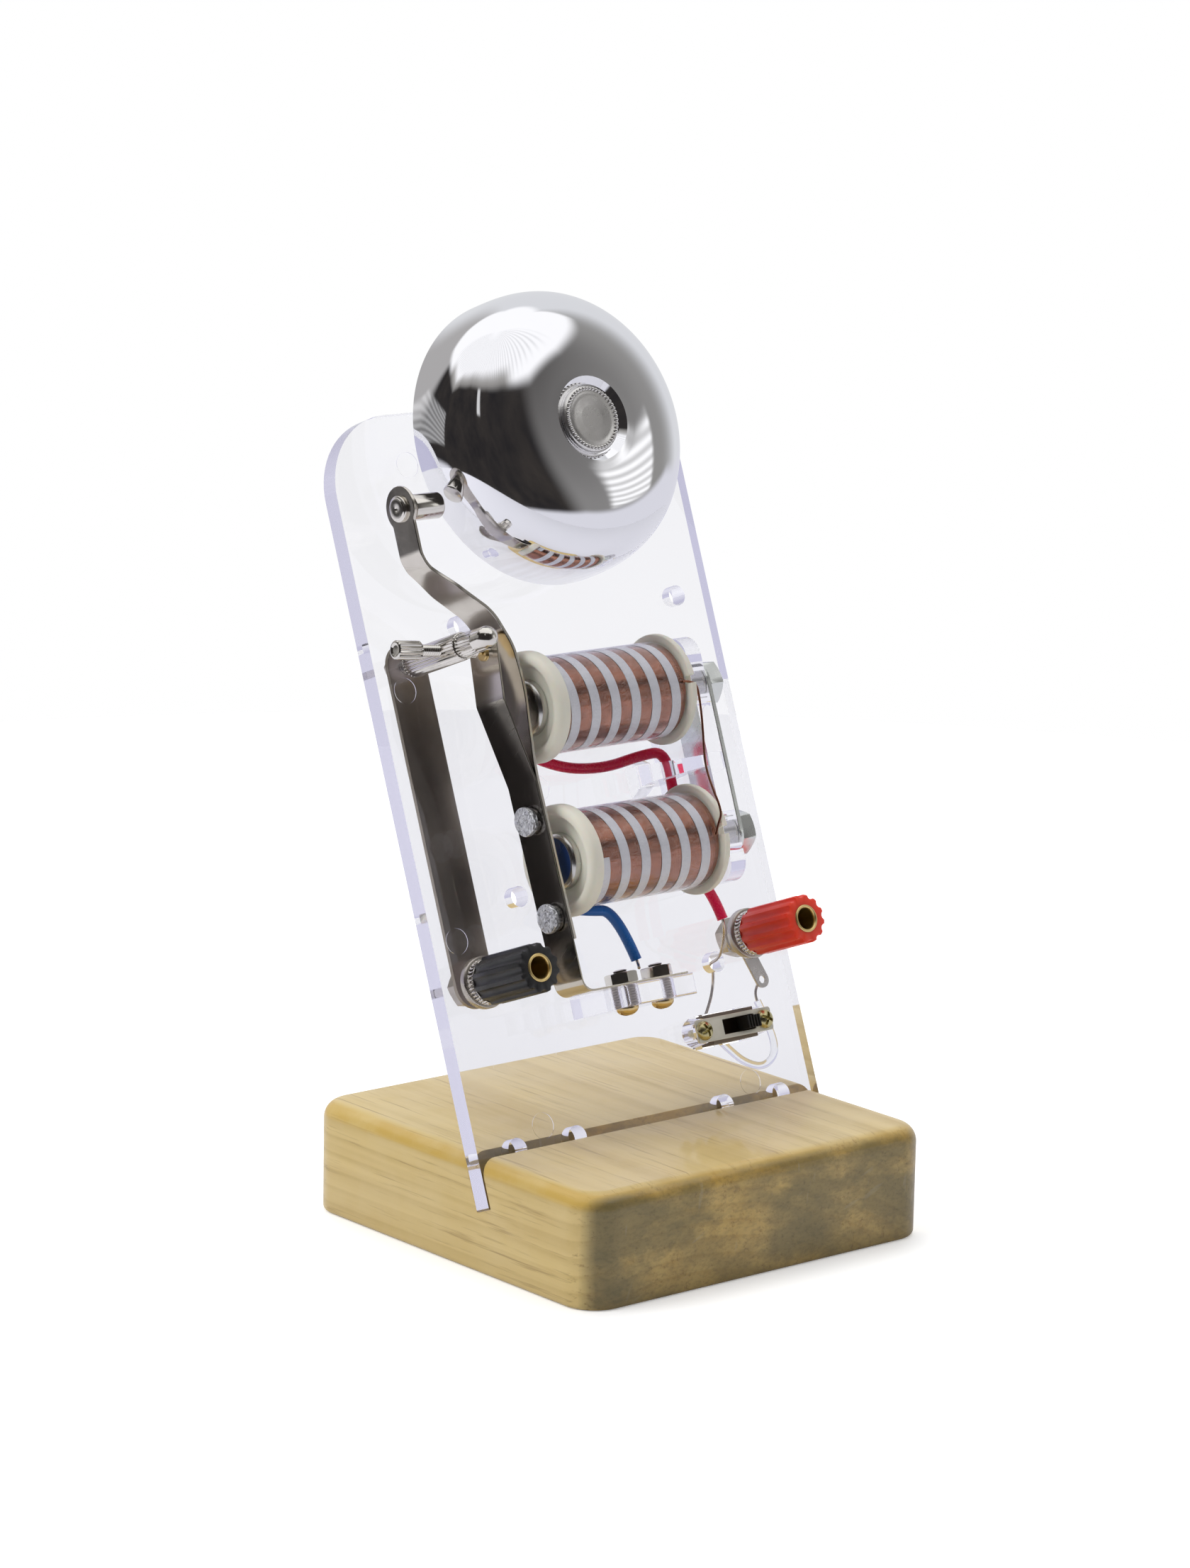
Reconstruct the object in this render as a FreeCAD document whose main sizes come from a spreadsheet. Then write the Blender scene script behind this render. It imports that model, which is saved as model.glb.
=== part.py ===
import FreeCAD, Part
import math
import os
import Sketcher
from FreeCAD import Vector

# Electric bell demonstrator: a clear moulded panel leaning back in a wooden base, carrying a gong, two coils,
# a hammer arm on a leaf spring with its make-and-break contact, two socket terminals and a slide switch.
# World frame: origin at the middle of the base's underside, +X right along the panel, +Y back, +Z up.
# Panel frame (used by nearly every piece): x across the panel, y up the panel, z out of its front face, with
# its origin where the front face leaves the wood. Every length is in millimetres, every angle in degrees.

os.makedirs("parts", exist_ok=True)
doc = FreeCAD.newDocument("ElectricBell")
sheet = doc.addObject("Spreadsheet::Sheet", "D")
sheet.Label = "Dimensions"

DIMENSIONS = [
    # wooden base
    ("base_wide", 85.0), ("base_high", 22.0), ("base_corner", 7.0), ("base_top_round", 3.5),
    ("base_foot_round", 1.0), ("slot_front", -9.945), ("lean", 21.0), ("slot_gap", 0.3), ("slot_deep", 9.6),
    # clear panel
    ("panel_top", 141.2), ("panel_thick", 3.8), ("panel_corner", 15.0),
    ("spare_hole", 2.0), ("slot_hole", 2.2), ("eject_r", 2.5), ("eject_deep", 0.15),
    ("bar_left", 19.5), ("bar_thick", 3.7), ("bar_low", 42.0), ("bar_high", 90.0), ("bar_tall", 16.0),
    ("bar_round", 4.0), ("rib_left", 12.3), ("rib_left_tall", 7.1), ("rib_right_tall", 15.5),
    ("rib_mid", 65.5), ("rib_root", 4.4), ("rib_tip", 2.2), ("rib_foot", 8.0), ("rib_foot_long", 3.6),
    ("rib_foot_tall", 3.4), ("rib_hole", 1.5), ("shelf_left", -13.5), ("shelf_right", 3.7),
    ("shelf_low", 21.9), ("shelf_top", 26.0), ("shelf_tall", 17.0), ("boss_r", 2.8), ("boss_taper", 7.0),
    # gong
    ("gong_up", 131.7), ("gong_rim", 8.0), ("gong_r", 28.0), ("gong_tall", 19.2), ("gong_power", 3.46),
    ("gong_sheet", 1.0), ("dish_r", 8.6), ("dish_deep", 0.85), ("dish_edge", 0.7), ("gong_hole", 2.6),
    ("gong_post_r", 4.0), ("spigot_r", 2.5), ("spigot_head_r", 3.4), ("spigot_head_tall", 0.35),
    ("cap_r", 7.3), ("cap_flat_r", 5.3), ("cap_flat_tall", 0.75), ("cap_bead_tall", 0.95), ("cap_hollow_r", 4.0),
    ("cap_hollow_tall", 0.45),
    # hammer arm, clapper and contact spring
    ("mid_out", 11.4), ("arm_wide", 8.6), ("arm_thick", 0.7), ("neck_wide", 6.5), ("neck_low", 107.0),
    ("neck_high", 118.5), ("eye_r", 4.3), ("eye_up", 121.0), ("eye_hole", 1.6),
    ("clapper_r", 2.5), ("clapper_gap", 2.525), ("clapper_long", 8.55), ("clapper_collar_r", 2.2), ("clapper_collar", 1.6),
    ("spring_thick", 0.4), ("spring_hinge_up", 31.0), ("spring_foot_up", 26.2), ("arm_rivet_low", 41.0),
    ("arm_rivet_high", 59.6), ("rivet_head_r", 2.8), ("rivet_head_tall", 1.0), ("rivet_collar_r", 2.4),
    ("rivet_collar_tall", 0.7), ("rivet_shank_r", 1.3), ("tip_pad_r", 2.0), ("tip_r", 1.3), ("tip_up", 91.9),
    # contact screw and its post
    ("post_left", -33.1), ("post_up", 93.4), ("post_r", 2.7), ("post_tall", 16.2), ("post_stud_r", 1.5),
    ("cap_screw_r", 2.25), ("cap_screw_tall", 4.8), ("cap_dome_r", 2.2), ("cap_screw_shank_r", 1.0),
    ("screw_tilt", -7.0), ("screw_thread_r", 1.15), ("screw_head_r", 1.85), ("screw_head_long", 5.4),
    ("screw_behind", 7.0), ("screw_clear", 0.05), ("screw_tip_left", -25.72),
    # rear strip
    ("strip_wide", 9.0), ("strip_thick", 1.0), ("strip_mid", -32.9),
    # socket terminals
    ("terminal_out", 33.1), ("terminal_up", 32.0), ("washer_r", 5.0), ("washer_tall", 1.4),
    ("collar_r", 4.4), ("collar_top", 3.2), ("stud_r", 1.75), ("stud_top", 7.0), ("stud_end", -9.0),
    ("head_r", 4.75), ("head_low", 3.25), ("head_top", 18.2), ("rib_cut_r", 0.95), ("insert_r", 2.65),
    ("socket_r", 2.0), ("insert_top", 18.35), ("thread_clear", 0.05), ("nut_across", 7.0), ("nut_tall", 2.6),
    ("small_nut_across", 5.5), ("small_nut_tall", 2.2),
    # coils
    ("coil_high", 80.75), ("coil_low", 51.25), ("flange_r", 10.7), ("flange_left", -18.8), ("flange_thick", 3.2),
    ("wind_left", -15.6), ("wind_right", 14.2), ("flange_right", 15.5), ("barrel_r", 5.2), ("core_r", 4.0),
    ("winding_r", 9.0), ("tape_r", 9.3), ("dish_face_r", 8.4), ("dish_face_deep", 1.8), ("pole_r", 5.5),
    ("pole_face", -18.95), ("notch_wide", 3.0), ("notch_deep", 1.5), ("yoke_thick", 1.0), ("yoke_wide", 9.4),
    ("bolt_across", 8.0), ("bolt_head", 3.5), ("bolt_r", 2.5), ("bolt_long", 12.0),
    # shelf screws
    ("screw_one", -9.3), ("screw_two", -0.6), ("shelf_screw_r", 1.5), ("shelf_head_r", 2.9),
    ("shelf_head_tall", 2.0), ("shelf_tip", 30.6),
    # slide switch
    ("switch_mid", 22.2), ("switch_up", 15.0), ("switch_ear", 1.85), ("switch_frame_long", 19.2),
    ("switch_frame_wide", 4.6), ("switch_frame_thick", 0.5), ("switch_seat", 3.0), ("window_end", 1.5),
    ("switch_body_wide", 5.9), ("switch_body_end", -5.2), ("window_gap", 0.5), ("window_wide", 6.5),
    ("switch_wall", 0.55), ("switch_slot_wide", 2.9), ("knob_long", 3.2), ("knob_gap", 0.2),
    ("knob_wide", 2.4), ("knob_top", 5.6), ("switch_travel", 4.2),
    ("switch_screw_r", 0.95), ("switch_head_r", 1.9), ("switch_head_tall", 1.2),
    # leads
    ("sleeve_r", 1.05), ("copper_r", 0.22), ("bare_r", 0.3), ("clear_wire_r", 0.75),
    # general running clearance between a shank and its hole
    ("hole_clear", 0.1),
]
for row, (name, number) in enumerate(DIMENSIONS, start=1):
    sheet.set(f"A{row}", name)
    sheet.set(f"B{row}", str(number))
    sheet.setAlias(f"B{row}", name)
doc.recompute()

# The panel frame, leaning back with the slot in the wood.
face = doc.addObject("App::Placement", "Face")
face.Label = "panel_frame"
face.setExpression(
    "Placement",
    "placement(vector(0; D.slot_front; D.base_high); rotation(vector(1; 0; 0); 90 - D.lean))")
doc.recompute()

# Sizes of the slide switch that follow from its frame's length and the slider's travel.
SWITCH_PITCH = "(D.switch_frame_long - 2 * D.switch_ear)"
WINDOW_LONG = f"({SWITCH_PITCH} - 2 * D.window_end)"
SWITCH_BODY_LONG = f"({WINDOW_LONG} - 2 * D.window_gap)"
SLOT_RIGHT = f"(D.switch_mid + {SWITCH_BODY_LONG} / 2 - D.switch_wall)"
SLOT_LEFT = f"({SLOT_RIGHT} - D.switch_travel - D.knob_long - 3 * D.knob_gap)"
KNOB_RIGHT = f"({SLOT_RIGHT} - D.knob_gap)"

NODES = []
ALONG_OUT = "rotation(vector(0; 0; 1); 0)"
ALONG_RIGHT = "rotation(vector(0; 1; 0); 90)"
ALONG_UP = "rotation(vector(1; 0; 0); -90)"
X_AXIS = Vector(1, 0, 0)
Y_AXIS = Vector(0, 1, 0)
Z_AXIS = Vector(0, 0, 1)


def num(expression):
    """The present value of an expression over the sheet's names."""
    result = sheet.evalExpression(str(expression))
    return float(getattr(result, "Value", result))


def node(obj, label):
    """Lists an object as a piece under the name it is written with."""
    obj.Label = label
    NODES.append(obj)
    return obj


def on_panel(obj, right="0", up="0", out="0", turn=ALONG_OUT):
    """Binds an object's own frame to a point of the panel frame, turned as one of the three directions."""
    obj.setExpression(
        "Placement", f"Face.Placement * placement(vector({right}; {up}; {out}); {turn})")
    return obj


def new_body(name):
    return doc.addObject("PartDesign::Body", name)


def attach(body, name, role, offset=None):
    """A sketch on one of the body's own planes, lifted off it by an expression where one is given."""
    plane = next(item for item in body.Origin.OriginFeatures if item.Role == role)
    sketch = body.newObject("Sketcher::SketchObject", name)
    sketch.AttachmentSupport = [(plane, "")]
    sketch.MapMode = "FlatFace"
    if offset:
        sketch.setExpression("AttachmentOffset.Base.z", offset)
    return sketch


def pin(sketch, kind, geo, point, expression):
    """Holds one coordinate of a sketch point at an expression."""
    index = sketch.addConstraint(Sketcher.Constraint(kind, -1, 1, geo, point, num(expression)))
    sketch.setExpression(f"Constraints[{index}]", str(expression))


def outline(body, name, role, points, offset=None):
    """A closed outline of straight edges through points given as pairs of expressions."""
    sketch = attach(body, name, role, offset)
    spots = [Vector(num(x), num(y), 0) for x, y in points]
    count = len(spots)
    for i in range(count):
        sketch.addGeometry(Part.LineSegment(spots[i], spots[(i + 1) % count]), False)
    for i in range(count):
        sketch.addConstraint(Sketcher.Constraint("Coincident", i, 2, (i + 1) % count, 1))
    for i, (x, y) in enumerate(points):
        pin(sketch, "DistanceX", i, 1, x)
        pin(sketch, "DistanceY", i, 1, y)
    return sketch


def rectangle(body, name, role, left, low, right, high, offset=None):
    return outline(body, name, role, [(left, low), (right, low), (right, high), (left, high)], offset)


def circles(body, name, role, rounds, offset=None):
    """A sketch of circles given as (x, y, radius) expressions."""
    sketch = attach(body, name, role, offset)
    for i, (x, y, radius) in enumerate(rounds):
        sketch.addGeometry(Part.Circle(Vector(num(x), num(y), 0), Z_AXIS, num(radius)), False)
        pin(sketch, "DistanceX", i, 3, x)
        pin(sketch, "DistanceY", i, 3, y)
        index = sketch.addConstraint(Sketcher.Constraint("Radius", i, num(radius)))
        sketch.setExpression(f"Constraints[{index}]", str(radius))
    return sketch


def pad(body, sketch, length, reverse=False, middle=False, taper=None):
    feature = body.newObject("PartDesign::Pad", sketch.Name + "Pad")
    feature.Profile = sketch
    feature.setExpression("Length", str(length))
    feature.Reversed = reverse
    feature.Midplane = middle
    if taper:
        feature.setExpression("TaperAngle", str(taper))
    sketch.Visibility = False
    return feature


def pocket(body, sketch, length=None, reverse=False, middle=False):
    feature = body.newObject("PartDesign::Pocket", sketch.Name + "Cut")
    feature.Profile = sketch
    if length is None:
        feature.Type = "ThroughAll"
    else:
        feature.setExpression("Length", str(length))
    feature.Reversed = reverse
    feature.Midplane = middle
    return feature


def spin(body, sketch, cut=False):
    """Turns an outline of (radius, height) points about the body's own Z axis."""
    kind = "PartDesign::Groove" if cut else "PartDesign::Revolution"
    feature = body.newObject(kind, sketch.Name + "Turn")
    feature.Profile = sketch
    feature.ReferenceAxis = (sketch, ["V_Axis"])
    feature.Angle = 360
    return feature


def dress(body, base, kind, size, wanted):
    """Rounds or bevels the edges of a feature that a test on the edge picks out."""
    doc.recompute()
    names = [f"Edge{i}" for i, edge in enumerate(base.Shape.Edges, start=1) if wanted(edge)]
    feature = body.newObject("PartDesign::" + kind, f"{body.Name}{kind}{len(body.Group)}")
    feature.Base = (base, names)
    feature.setExpression("Radius" if kind == "Fillet" else "Size", str(size))
    return feature


def turned(label, points, right="0", up="0", out="0", turn=ALONG_OUT, rounds=()):
    """A lathe-turned piece: an outline of (radius, height) points, with rounded rims at the given heights."""
    name = "".join(word.capitalize() for word in label.split("_"))
    body = new_body(name)
    feature = spin(body, outline(body, name + "Profile", "XZ_Plane", points))
    for kind, size, radius, height in rounds:
        reach, level = num(radius), num(height)

        def at_rim(edge, reach=reach, level=level):
            box = edge.BoundBox
            flat = abs(box.ZMin - level) < 1e-4 and abs(box.ZMax - level) < 1e-4
            return flat and abs(box.XMax - reach) < 1e-3

        feature = dress(body, feature, kind, size, at_rim)
    on_panel(body, right, up, out, turn)
    return node(body, label)


def shaped(label, shape):
    """A piece whose shape is set in the panel frame by Part functions."""
    obj = doc.addObject("Part::Feature", "".join(word.capitalize() for word in label.split("_")))
    obj.Shape = shape
    on_panel(obj)
    return node(obj, label)


def rod(radius, start, end):
    """A round bar between two points."""
    start, end = Vector(*start), Vector(*end)
    return Part.makeCylinder(radius, (end - start).Length, start, end - start)


def hexagon(across, tall, start, along, turn=0.0):
    """A hexagonal prism with its corners turned off at both ends."""
    along = Vector(*along)
    reach = across / math.sqrt(3.0)
    ring = [Vector(reach * math.cos(math.radians(60 * i + turn)), reach * math.sin(math.radians(60 * i + turn)), 0)
            for i in range(7)]
    prism = Part.Face(Part.makePolygon(ring)).extrude(Vector(0, 0, tall))
    bevel = 0.12 * across
    slope = bevel * 0.5
    cutter = Part.makeCone(across / 2 + 0.02, across / 2 + 0.02 + bevel, slope)
    cutter = cutter.fuse(Part.makeCylinder(across / 2 + 0.02 + bevel, tall - 2 * slope, Vector(0, 0, slope)))
    cutter = cutter.fuse(Part.makeCone(across / 2 + 0.02 + bevel, across / 2 + 0.02, slope,
                                       Vector(0, 0, tall - slope)))
    solid = prism.common(cutter.removeSplitter())
    solid.Placement = FreeCAD.Placement(Vector(*start), FreeCAD.Rotation(Z_AXIS, along))
    return solid


def bent_run(points, tight=0.45):
    """A path of straight runs joined by tangent arcs through three-dimensional points."""
    spots = [Vector(*point) for point in points]
    edges = []
    here = spots[0]
    bends = []
    for before, corner, after in zip(spots, spots[1:], spots[2:]):
        inward = (corner - before).normalize()
        onward = (after - corner).normalize()
        half = inward.getAngle(onward) / 2
        shorter = min((corner - before).Length, (after - corner).Length)
        reach = tight * shorter
        bends.append(round(reach / math.tan(half), 2))
        first = corner - inward * reach
        last = corner + onward * reach
        middle_way = (onward - inward).normalize()
        radius = reach / math.tan(half)
        middle = corner + middle_way * (radius / math.cos(half) - radius)
        edges.append(Part.LineSegment(here, first).toShape())
        edges.append(Part.Arc(first, middle, last).toShape())
        here = last
    edges.append(Part.LineSegment(here, spots[-1]).toShape())
    return Part.Wire(edges), bends


def cord(radius, points, tight=0.45):
    """A round lead laid along a bent run; its volume is compared with section times length."""
    path, bends = bent_run(points, tight)
    start = Vector(*points[0])
    along = Vector(*points[1]) - start
    disc = Part.Face(Part.Wire(Part.makeCircle(radius, start, along)))
    solid = path.makePipe(disc)
    area = math.pi * radius ** 2
    print("lead: bend radii", bends, "volume ratio", round(solid.Volume / (area * path.Length), 3))
    return solid


def strip_face(points, radii, thick):
    """The edge-on face of a bent strip: corners of its middle line, a bend radius at each, and its thickness."""
    spots = [Vector(x, y, 0) for x, y in points]

    def side(sign):
        shift = []
        for i, spot in enumerate(spots):
            normals = []
            if i > 0:
                d = (spot - spots[i - 1]).normalize()
                normals.append(Vector(-d.y, d.x, 0))
            if i < len(spots) - 1:
                d = (spots[i + 1] - spot).normalize()
                normals.append(Vector(-d.y, d.x, 0))
            total = normals[0] if len(normals) == 1 else (normals[0] + normals[1]).normalize()
            shift.append(spot + total * (sign * thick / 2 / total.dot(normals[0])))
        edges = []
        here = shift[0]
        for i in range(1, len(spots) - 1):
            inward = (spots[i] - spots[i - 1]).normalize()
            onward = (spots[i + 1] - spots[i]).normalize()
            turn = inward.x * onward.y - inward.y * onward.x
            radius = radii[i - 1] - (thick / 2 if turn * sign > 0 else -thick / 2)
            half = inward.getAngle(onward) / 2
            reach = radius * math.tan(half)
            first = shift[i] - inward * reach
            last = shift[i] + onward * reach
            middle = shift[i] + (onward - inward).normalize() * (radius / math.cos(half) - radius)
            edges.append(Part.LineSegment(here, first).toShape())
            edges.append(Part.Arc(first, middle, last).toShape())
            here = last
        edges.append(Part.LineSegment(here, shift[-1]).toShape())
        return edges, shift[0], shift[-1]

    left, left_start, left_end = side(1)
    right, right_start, right_end = side(-1)
    ends = [Part.LineSegment(left_end, right_end).toShape(), Part.LineSegment(right_start, left_start).toShape()]
    return Part.Face(Part.Wire(Part.__sortEdges__(left + right + ends)))


# ---------------------------------------------------------------- wooden base
base = new_body("Base")
half = "D.base_wide / 2"
blank = pad(base, rectangle(base, "BaseOutline", "XY_Plane", f"-{half}", f"-{half}", half, half), "D.base_high")
feature = dress(base, blank, "Fillet", "D.base_corner",
                lambda edge: edge.BoundBox.ZLength > num("D.base_high") - 0.01)
feature = dress(base, feature, "Fillet", "D.base_top_round",
                lambda edge: edge.BoundBox.ZMin > num("D.base_high") - 0.01)
feature = dress(base, feature, "Fillet", "D.base_foot_round", lambda edge: edge.BoundBox.ZMax < 0.01)


def slot_point(up, out):
    """A point of the leaning slot, in the base's own Y and Z."""
    return (f"D.slot_front + ({up}) * sin(D.lean) - ({out}) * cos(D.lean)",
            f"D.base_high + ({up}) * cos(D.lean) + ({out}) * sin(D.lean)")


slot = outline(base, "SlotOutline", "YZ_Plane", [
    slot_point("-D.slot_deep", "D.slot_gap"), slot_point("12", "D.slot_gap"),
    slot_point("12", "-D.panel_thick"), slot_point("-D.slot_deep", "-D.panel_thick")])
pocket(base, slot, middle=True)
node(base, "wooden_base")

# ---------------------------------------------------------------- clear moulded panel
panel = new_body("Panel")
side = "D.base_wide / 2"
sheet_pad = pad(panel, rectangle(panel, "PanelOutline", "XY_Plane", f"-{side}", "-D.slot_deep", side, "D.panel_top"),
                "D.panel_thick", reverse=True)
top_corner = dress(panel, sheet_pad, "Fillet", "D.panel_corner",
                   lambda edge: edge.BoundBox.ZLength > 1 and edge.BoundBox.YMin > 100)
# The yoke wall: a bar standing out of the front face, its two front corners rounded.
bar = pad(panel, rectangle(panel, "BarOutline", "YZ_Plane", "D.bar_low", "-0.5", "D.bar_high", "D.bar_tall",
                           "D.bar_left"), "D.bar_thick")
bar_round = dress(panel, bar, "Fillet", "D.bar_round",
                  lambda edge: edge.BoundBox.XLength > num("D.bar_thick") - 0.01
                  and edge.BoundBox.ZMin > num("D.bar_tall") - 0.01)
# The gusset between the coils: drafted, so it is thinner at its tip, with its corner cut off on a slope.
rib = pad(panel, outline(panel, "RibSection", "YZ_Plane", [
    ("D.rib_mid - D.rib_root / 2", "-0.3"), ("D.rib_mid + D.rib_root / 2", "-0.3"),
    ("D.rib_mid + D.rib_tip / 2", "D.rib_right_tall"), ("D.rib_mid - D.rib_tip / 2", "D.rib_right_tall")],
    "D.rib_left"), "D.bar_left - D.rib_left + 0.5")
pocket(panel, outline(panel, "RibSlope", "XZ_Plane", [
    ("D.rib_left - 1", "D.rib_left_tall - (D.rib_right_tall - D.rib_left_tall) / (D.bar_left - D.rib_left)"),
    ("D.bar_left", "D.rib_right_tall"), ("D.bar_left", "D.rib_right_tall + 3"),
    ("D.rib_left - 1", "D.rib_right_tall + 3")], "-D.rib_mid"), "D.rib_root + 2", middle=True)
# The gusset's flared foot on the panel.
pad(panel, outline(panel, "RibFoot", "YZ_Plane", [
    ("D.rib_mid - D.rib_foot / 2", "-0.3"), ("D.rib_mid + D.rib_foot / 2", "-0.3"),
    ("D.rib_mid + D.rib_root / 2", "D.rib_foot_tall"), ("D.rib_mid - D.rib_root / 2", "D.rib_foot_tall")],
    "D.rib_left - 0.4"), "D.rib_foot_long")
# The terminal shelf.
shelf = pad(panel, rectangle(panel, "ShelfOutline", "XY_Plane", "D.shelf_left", "D.shelf_low", "D.shelf_right",
                             "D.shelf_top"), "D.shelf_tall")
dress(panel, shelf, "Fillet", "0.5", lambda edge: abs(edge.BoundBox.ZMin - num("D.shelf_tall")) < 0.01
      and edge.BoundBox.ZLength < 0.01)
# Two tapered bosses that hold the switch frame off the face.
pad(panel, circles(panel, "SwitchBosses", "XY_Plane", [
    (f"D.switch_mid {sign} {SWITCH_PITCH} / 2", "D.switch_up", "D.boss_r") for sign in "-+"]),
    "D.switch_seat", taper="-D.boss_taper")
# Holes through the panel: fixings, the lead hole, the spare holes and the four along the wood.
SPARE_HOLES = [("34.1", "100"), ("-20", "46.8"), ("-19.8", "99.5"), ("24.1", "27.8")]
SLOT_HOLES = [("-33", "0.2"), ("-18.5", "0.2"), ("18.5", "0.2"), ("33", "0.2")]
through = [(x, y, "D.spare_hole") for x, y in SPARE_HOLES]
through += [(x, y, "D.slot_hole") for x, y in SLOT_HOLES]
through += [("0", "D.gong_up", "D.stud_r + D.hole_clear")]
through += [("D.post_left", "D.post_up", "D.post_stud_r + D.hole_clear")]
through += [(f"{sign}D.terminal_out", "D.terminal_up", "D.stud_r + D.hole_clear") for sign in ("-", "")]
pocket(panel, circles(panel, "FaceHoles", "XY_Plane", through), middle=True)
pocket(panel, rectangle(panel, "SwitchWindow", "XY_Plane", f"D.switch_mid - {WINDOW_LONG} / 2",
                        "D.switch_up - D.window_wide / 2", f"D.switch_mid + {WINDOW_LONG} / 2",
                        "D.switch_up + D.window_wide / 2"), middle=True)
pocket(panel, circles(panel, "BossHoles", "XY_Plane", [
    (f"D.switch_mid {sign} {SWITCH_PITCH} / 2", "D.switch_up", "D.switch_screw_r + D.thread_clear")
    for sign in "-+"]), "2 * D.switch_seat + 2", middle=True)
pocket(panel, circles(panel, "ShelfHoles", "XZ_Plane", [
    (f"D.screw_{which}", "D.mid_out", "D.shelf_screw_r + D.hole_clear") for which in ("one", "two")],
    "-D.shelf_top + 5"), "30", middle=True)
# Bores through the yoke wall for the cores, cut from the side.
pocket(panel, circles(panel, "CoreBores", "YZ_Plane", [
    (f"D.coil_{which}", "D.mid_out", "D.core_r + D.hole_clear") for which in ("high", "low")],
    "D.bar_left - 1"), "D.bar_thick + 4", reverse=True)
# A hole in the gusset lets the red sleeve past.
pocket(panel, circles(panel, "LeadBore", "XZ_Plane", [("17.4", "6.2", "D.rib_hole")], "-D.rib_mid"),
       "D.rib_root + 2", middle=True)
# Round marks of the mould's ejector pins, sunk a little into the front face and the yoke wall.
EJECTORS = [("26", "3.6"), ("-26", "3.6"), ("-24.55", "131.2"), ("-36.3", "88.5"), ("-36.7", "40.5"), ("-10", "66.5")]
pocket(panel, circles(panel, "EjectorMarks", "XY_Plane", [(x, y, "D.eject_r") for x, y in EJECTORS]),
       "D.eject_deep", reverse=False)
node(panel, "clear_panel")
on_panel(panel)

# ---------------------------------------------------------------- gong
def gong_height(radius, outer, tall):
    """Height of the dome above its rim at a radius, for the flat-crowned law of the pressed shell."""
    power = num("D.gong_power")
    return tall * max(0.0, 1 - (radius / outer) ** power) ** (1 / power)


def gong_side(outer, tall, floor):
    """One side of the pressed shell: arcs from rim to crown, then the step down to the dished middle."""
    power = num("D.gong_power")
    start = num("D.dish_r") + num("D.dish_edge")

    def spot(turn):
        return Vector(outer * math.cos(turn) ** (2 / power), 0,
                      num("D.gong_rim") + tall * math.sin(turn) ** (2 / power))

    last = math.degrees(math.acos((start / outer) ** (power / 2)))
    turns = [math.radians(angle) for angle in (0, 8, 22, 36, 50, 64, last)]
    edges = [Part.Arc(spot(low), spot((low + high) / 2), spot(high)).toShape()
             for low, high in zip(turns, turns[1:])]
    lip = Vector(num("D.dish_r") - num("D.dish_edge"), 0, floor)
    hole = Vector(num("D.gong_hole"), 0, floor)
    edges.append(Part.LineSegment(spot(turns[-1]), lip).toShape())
    edges.append(Part.LineSegment(lip, hole).toShape())
    return edges, spot(0), hole


crown = num("D.gong_rim") + gong_height(num("D.dish_r"), num("D.gong_r"), num("D.gong_tall"))
dish_floor = crown - num("D.dish_deep")
thick = num("D.gong_sheet")
outside, rim_out, hole_out = gong_side(num("D.gong_r"), num("D.gong_tall"), dish_floor)
inside, rim_in, hole_in = gong_side(num("D.gong_r") - thick, num("D.gong_tall") - thick, dish_floor - thick)
loop = outside + inside
loop.append(Part.LineSegment(rim_out, rim_in).toShape())
loop.append(Part.LineSegment(hole_out, hole_in).toShape())
shell = Part.Face(Part.Wire(Part.__sortEdges__(loop))).revolve(Vector(0, 0, 0), Z_AXIS, 360)
gong = doc.addObject("Part::Feature", "BellGong")
gong.Shape = shell
on_panel(gong, up="D.gong_up")
node(gong, "bell_gong")
seat = str(round(dish_floor - thick, 4))
floor = str(round(dish_floor, 4))
turned("gong_post", [
    ("0", "10"), ("D.stud_r + D.thread_clear", "10"), ("D.stud_r + D.thread_clear", "0"), ("D.gong_post_r", "0"),
    ("D.gong_post_r", seat), ("D.spigot_r", seat), ("D.spigot_r", floor), ("D.spigot_head_r", floor),
    ("D.spigot_head_r", f"{floor} + D.spigot_head_tall"), ("0", f"{floor} + D.spigot_head_tall")],
    up="D.gong_up")
turned("gong_cap", [
    ("0", "D.cap_hollow_tall"), ("D.cap_hollow_r", "D.cap_hollow_tall"), ("D.cap_hollow_r", "0"),
    ("D.cap_r", "0"), ("D.cap_r", "D.cap_bead_tall"), ("D.cap_flat_r + 0.35", "D.cap_bead_tall"),
    ("D.cap_flat_r", "D.cap_flat_tall"), ("0", "D.cap_flat_tall")],
    up="D.gong_up", out=floor, rounds=[("Fillet", "0.6", "D.cap_r", "D.cap_bead_tall")])
turned("gong_screw", [
    ("0", "8.5"), ("D.stud_r", "8.5"), ("D.stud_r", "-D.panel_thick"), ("3.6", "-D.panel_thick"),
    ("3.6", "-D.panel_thick - 2.2"), ("1.2", "-D.panel_thick - 2.2"), ("1.2", "-D.panel_thick - 0.9"),
    ("0", "-D.panel_thick - 0.9")],
    up="D.gong_up", rounds=[("Chamfer", "0.7", "3.6", "-D.panel_thick - 2.2")])

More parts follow.
